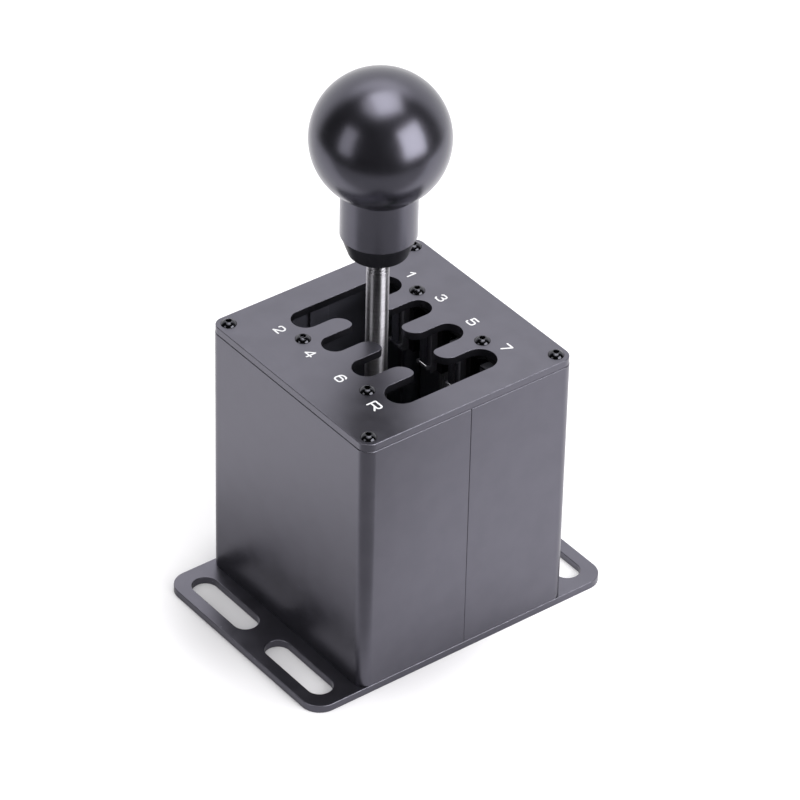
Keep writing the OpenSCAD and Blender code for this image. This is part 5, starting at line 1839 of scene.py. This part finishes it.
@dataclass
class Studio:
    """The pale floor, the soft light and the camera, in metres.

    Each reach is where a smooth step starts and where it ends: a distance on the floor, a share
    along the backdrop's direction, or the height of a direction on the unit sphere.
    """

    floor_near: float = 0.34
    floor_far: float = 0.95
    floor_tone: float = 0.8
    floor_tint: Colour = (0.99, 0.98, 1.0)
    # painted light: the floor glows; round shadow_spot the glow fades out, a painted shadow for the camera
    floor_glow: float = 0.32
    shadow_spot: Triple = (0.005, -0.03, 0.0)
    shadow_reach: Point = (0.04, 0.072)
    mirror_spot: Triple = (-0.015, -0.025, 0.0)
    mirror_reach: Point = (0.052, 0.1)
    # painted shade and light in the floor's reflections: darker on the near side and close to the object, brighter
    # than the paper on the far side
    near_reflection_shade: float = 0.42
    far_reflection_gain: float = 1.15
    reflection_shade_reach: Point = (-0.105, -0.065)
    close_reflection_shade: float = 0.75
    close_shade_reach: Point = (0.05, 0.12)
    backdrop: Triple = (-0.784, 0.620, 0.0)
    dark_side: float = 0.03
    bright_side: float = 1.42
    side_reach: Point = (0.2, 0.6)
    ceiling_reach: Point = (0.85, 0.97)
    bright_above: float = 2.8
    above_reach: Point = (0.55, 0.82)
    ambient: float = 0.75
    look: Triple = (-0.633755, 0.495844, -0.593711)
    distance: float = 1.69162
    aim: Triple = (-0.0005, 0.00045, 0.065)
    shift_right: float = 0.003565
    shift_up: float = 0.013195
    roll: float = 1.337
    lens: float = 217.31
    sensor: float = 36.0
    clip: Point = (0.05, 20.0)
    lamp_target: Triple = (0.0, 0.0, 0.12)
    lamps: tuple[Lamp, ...] = (
        Lamp("right_soft_box", (0.898, 0.293, 0.329), 1.0, 0.72, 0.85, 11.8),
        Lamp("left_soft_box", (-0.055, -0.954, 0.289), 1.0, 0.4, 0.7, 1.8),
        Lamp("overhead_soft_box", (0.048, 0.142, 0.989), 0.9, 0.6, 0.6, 3.0),
    )

    def build_floor(self) -> None:
        """The floor: a round sheet, near the object on the camera's side and far on the other."""
        radius = (self.floor_near + self.floor_far) / 2
        shift = (self.floor_far - self.floor_near) / 2
        ring = filleted([(0, 0), (radius, 0)], [0, 0], closed=False)
        surface = Surface()
        place = Matrix.Translation(Vector(self.backdrop) * shift / MM)
        profile = Path(ring.points[::-1] / MM, np.array([[0.0, 1.0], [0.0, 1.0]]))
        surface.lathe(profile, place=place)
        floor = surface.build("studio_floor")
        floor.data.materials.append(self.floor_material())

    def floor_material(self) -> bpy.types.Material:
        """Pale matte paper that keeps shadows.

        It glows away from the object, which is painted light, for the camera and in reflections each round a spot
        of its own; for the camera the missing glow round its spot is a painted shadow. In reflections its tone is
        painted darker on the near side and close to the object, and brighter than the paper on the far side.

        Returns:
            The material.
        """
        material = bpy.data.materials.new("pale_floor")
        material.use_nodes = True
        graph = Graph(material.node_tree)
        where = graph.add("ShaderNodeTexCoord").outputs["Object"]
        beside, away = (
            graph.add("ShaderNodeVectorMath", {0: where, 1: spot}, operation="DISTANCE").outputs["Value"]
            for spot in (self.shadow_spot, self.mirror_spot)
        )
        far = graph.add("ShaderNodeVectorMath", {0: where, 1: self.backdrop}, operation="DOT_PRODUCT")
        path = graph.add("ShaderNodeLightPath").outputs
        # painted shade in reflections: darker on the near side and near the object, brighter on the far side
        reflection_shade = graph.ramp(far.outputs["Value"], *self.reflection_shade_reach, self.near_reflection_shade, self.far_reflection_gain)
        close = graph.ramp(away, *self.close_shade_reach, self.close_reflection_shade, 1)
        gloss = graph.sum("SUBTRACT", graph.sum("MULTIPLY", reflection_shade, close), 1.0)
        shade = graph.sum("ADD", 1.0, graph.sum("MULTIPLY", path["Is Glossy Ray"], gloss))
        tone = graph.sum("MULTIPLY", shade, self.floor_tone)
        grey = graph.mix(tone, (0.0, 0.0, 0.0), self.floor_tint)
        paper = graph.add("ShaderNodeBsdfDiffuse", {"Color": grey})
        # painted shadow: for the camera the glow fades to nothing round shadow_spot
        camera_glow = graph.ramp(beside, *self.shadow_reach, 0, self.floor_glow)
        shown = graph.sum("MULTIPLY", path["Is Camera Ray"], camera_glow)
        # painted light: in reflections the floor glows away from mirror_spot
        mirror_glow = graph.ramp(away, *self.mirror_reach, 0, self.floor_glow)
        mirrored = graph.sum("MULTIPLY", path["Is Glossy Ray"], mirror_glow)
        glowing = graph.sum("MULTIPLY", graph.sum("ADD", shown, mirrored), shade)
        glow = graph.add("ShaderNodeEmission", {"Strength": glowing})
        both = graph.add("ShaderNodeAddShader", {0: paper.outputs[0], 1: glow.outputs[0]})
        graph.add("ShaderNodeOutputMaterial", {"Surface": both.outputs[0]})
        return material

    def build_air(self) -> None:
        """The world: white to the camera, soft ambient light, and in reflections a far side that
        brightens upwards, a bright ceiling and a dark near side."""
        world = bpy.data.worlds.new("studio_air")
        bpy.context.scene.world = world
        world.use_nodes = True
        graph = Graph(world.node_tree)
        towards = graph.add("ShaderNodeTexCoord").outputs["Generated"]
        far = graph.add("ShaderNodeVectorMath", {0: towards, 1: self.backdrop}, operation="DOT_PRODUCT")
        back = graph.ramp(far.outputs["Value"], *self.side_reach)
        height = graph.add("ShaderNodeSeparateXYZ", {0: towards}).outputs["Z"]
        ceiling = graph.ramp(height, *self.ceiling_reach)
        share = graph.sum("MAXIMUM", back, ceiling)
        side, above = self.bright_side - self.dark_side, self.bright_above - self.dark_side
        bright = graph.ramp(height, *self.above_reach, side, above)
        mirrored = graph.sum("ADD", self.dark_side, graph.sum("MULTIPLY", share, bright))
        path = graph.add("ShaderNodeLightPath").outputs
        gloss = graph.sum("MAXIMUM", path["Is Glossy Ray"], path["Is Transmission Ray"])
        reflected = graph.sum("MULTIPLY", gloss, graph.sum("SUBTRACT", mirrored, self.ambient))
        unseen = graph.sum("ADD", self.ambient, reflected)
        to_camera = graph.sum("MULTIPLY", path["Is Camera Ray"], graph.sum("SUBTRACT", 1.0, unseen))
        strength = graph.sum("ADD", unseen, to_camera)
        air = graph.add("ShaderNodeBackground", {"Color": (1, 1, 1, 1), "Strength": strength})
        graph.add("ShaderNodeOutputWorld", {"Surface": air.outputs[0]})

    def build_camera(self) -> None:
        """The camera: it looks along a fixed direction with a small roll."""
        forward = Vector(self.look).normalized()
        level = forward.cross(Vector((0, 0, 1))).normalized()
        above = level.cross(forward)
        turn = math.radians(self.roll)
        right = level * math.cos(turn) + above * math.sin(turn)
        up = above * math.cos(turn) - level * math.sin(turn)
        data = bpy.data.cameras.new("photo_camera")
        data.lens, data.sensor_width = self.lens, self.sensor
        data.clip_start, data.clip_end = self.clip
        camera = bpy.data.objects.new("photo_camera", data)
        spot = Vector(self.aim) - forward * self.distance + right * self.shift_right + up * self.shift_up
        turned = Matrix((right, up, -forward)).transposed().to_4x4()
        camera.matrix_world = Matrix.Translation(spot) @ turned
        bpy.context.scene.collection.objects.link(camera)
        bpy.context.scene.camera = camera

    def build(self) -> None:
        """Builds the floor, the world, the lamps and the camera."""
        self.build_camera()
        self.build_floor()
        self.build_air()
        for lamp in self.lamps:
            lamp.build(Vector(self.lamp_target))
        bpy.context.scene.view_settings.view_transform = "Standard"


def main() -> None:
    """Builds the studio and every sub-assembly of the shifter, in order."""
    logging.basicConfig(level=logging.INFO, format="%(name)s: %(message)s")
    Studio().build()
    base, gate = BasePlate(), GatePlate()
    assemblies = (
        base, Housing(), gate, Lever(), Fasteners(base, gate), CentringSprings(), InnerWorks(),
    )
    for assembly in assemblies:
        pieces = assembly.build()
        log.info("%s: %d pieces", type(assembly).__name__, len(pieces))


if __name__ == "__main__":
    main()
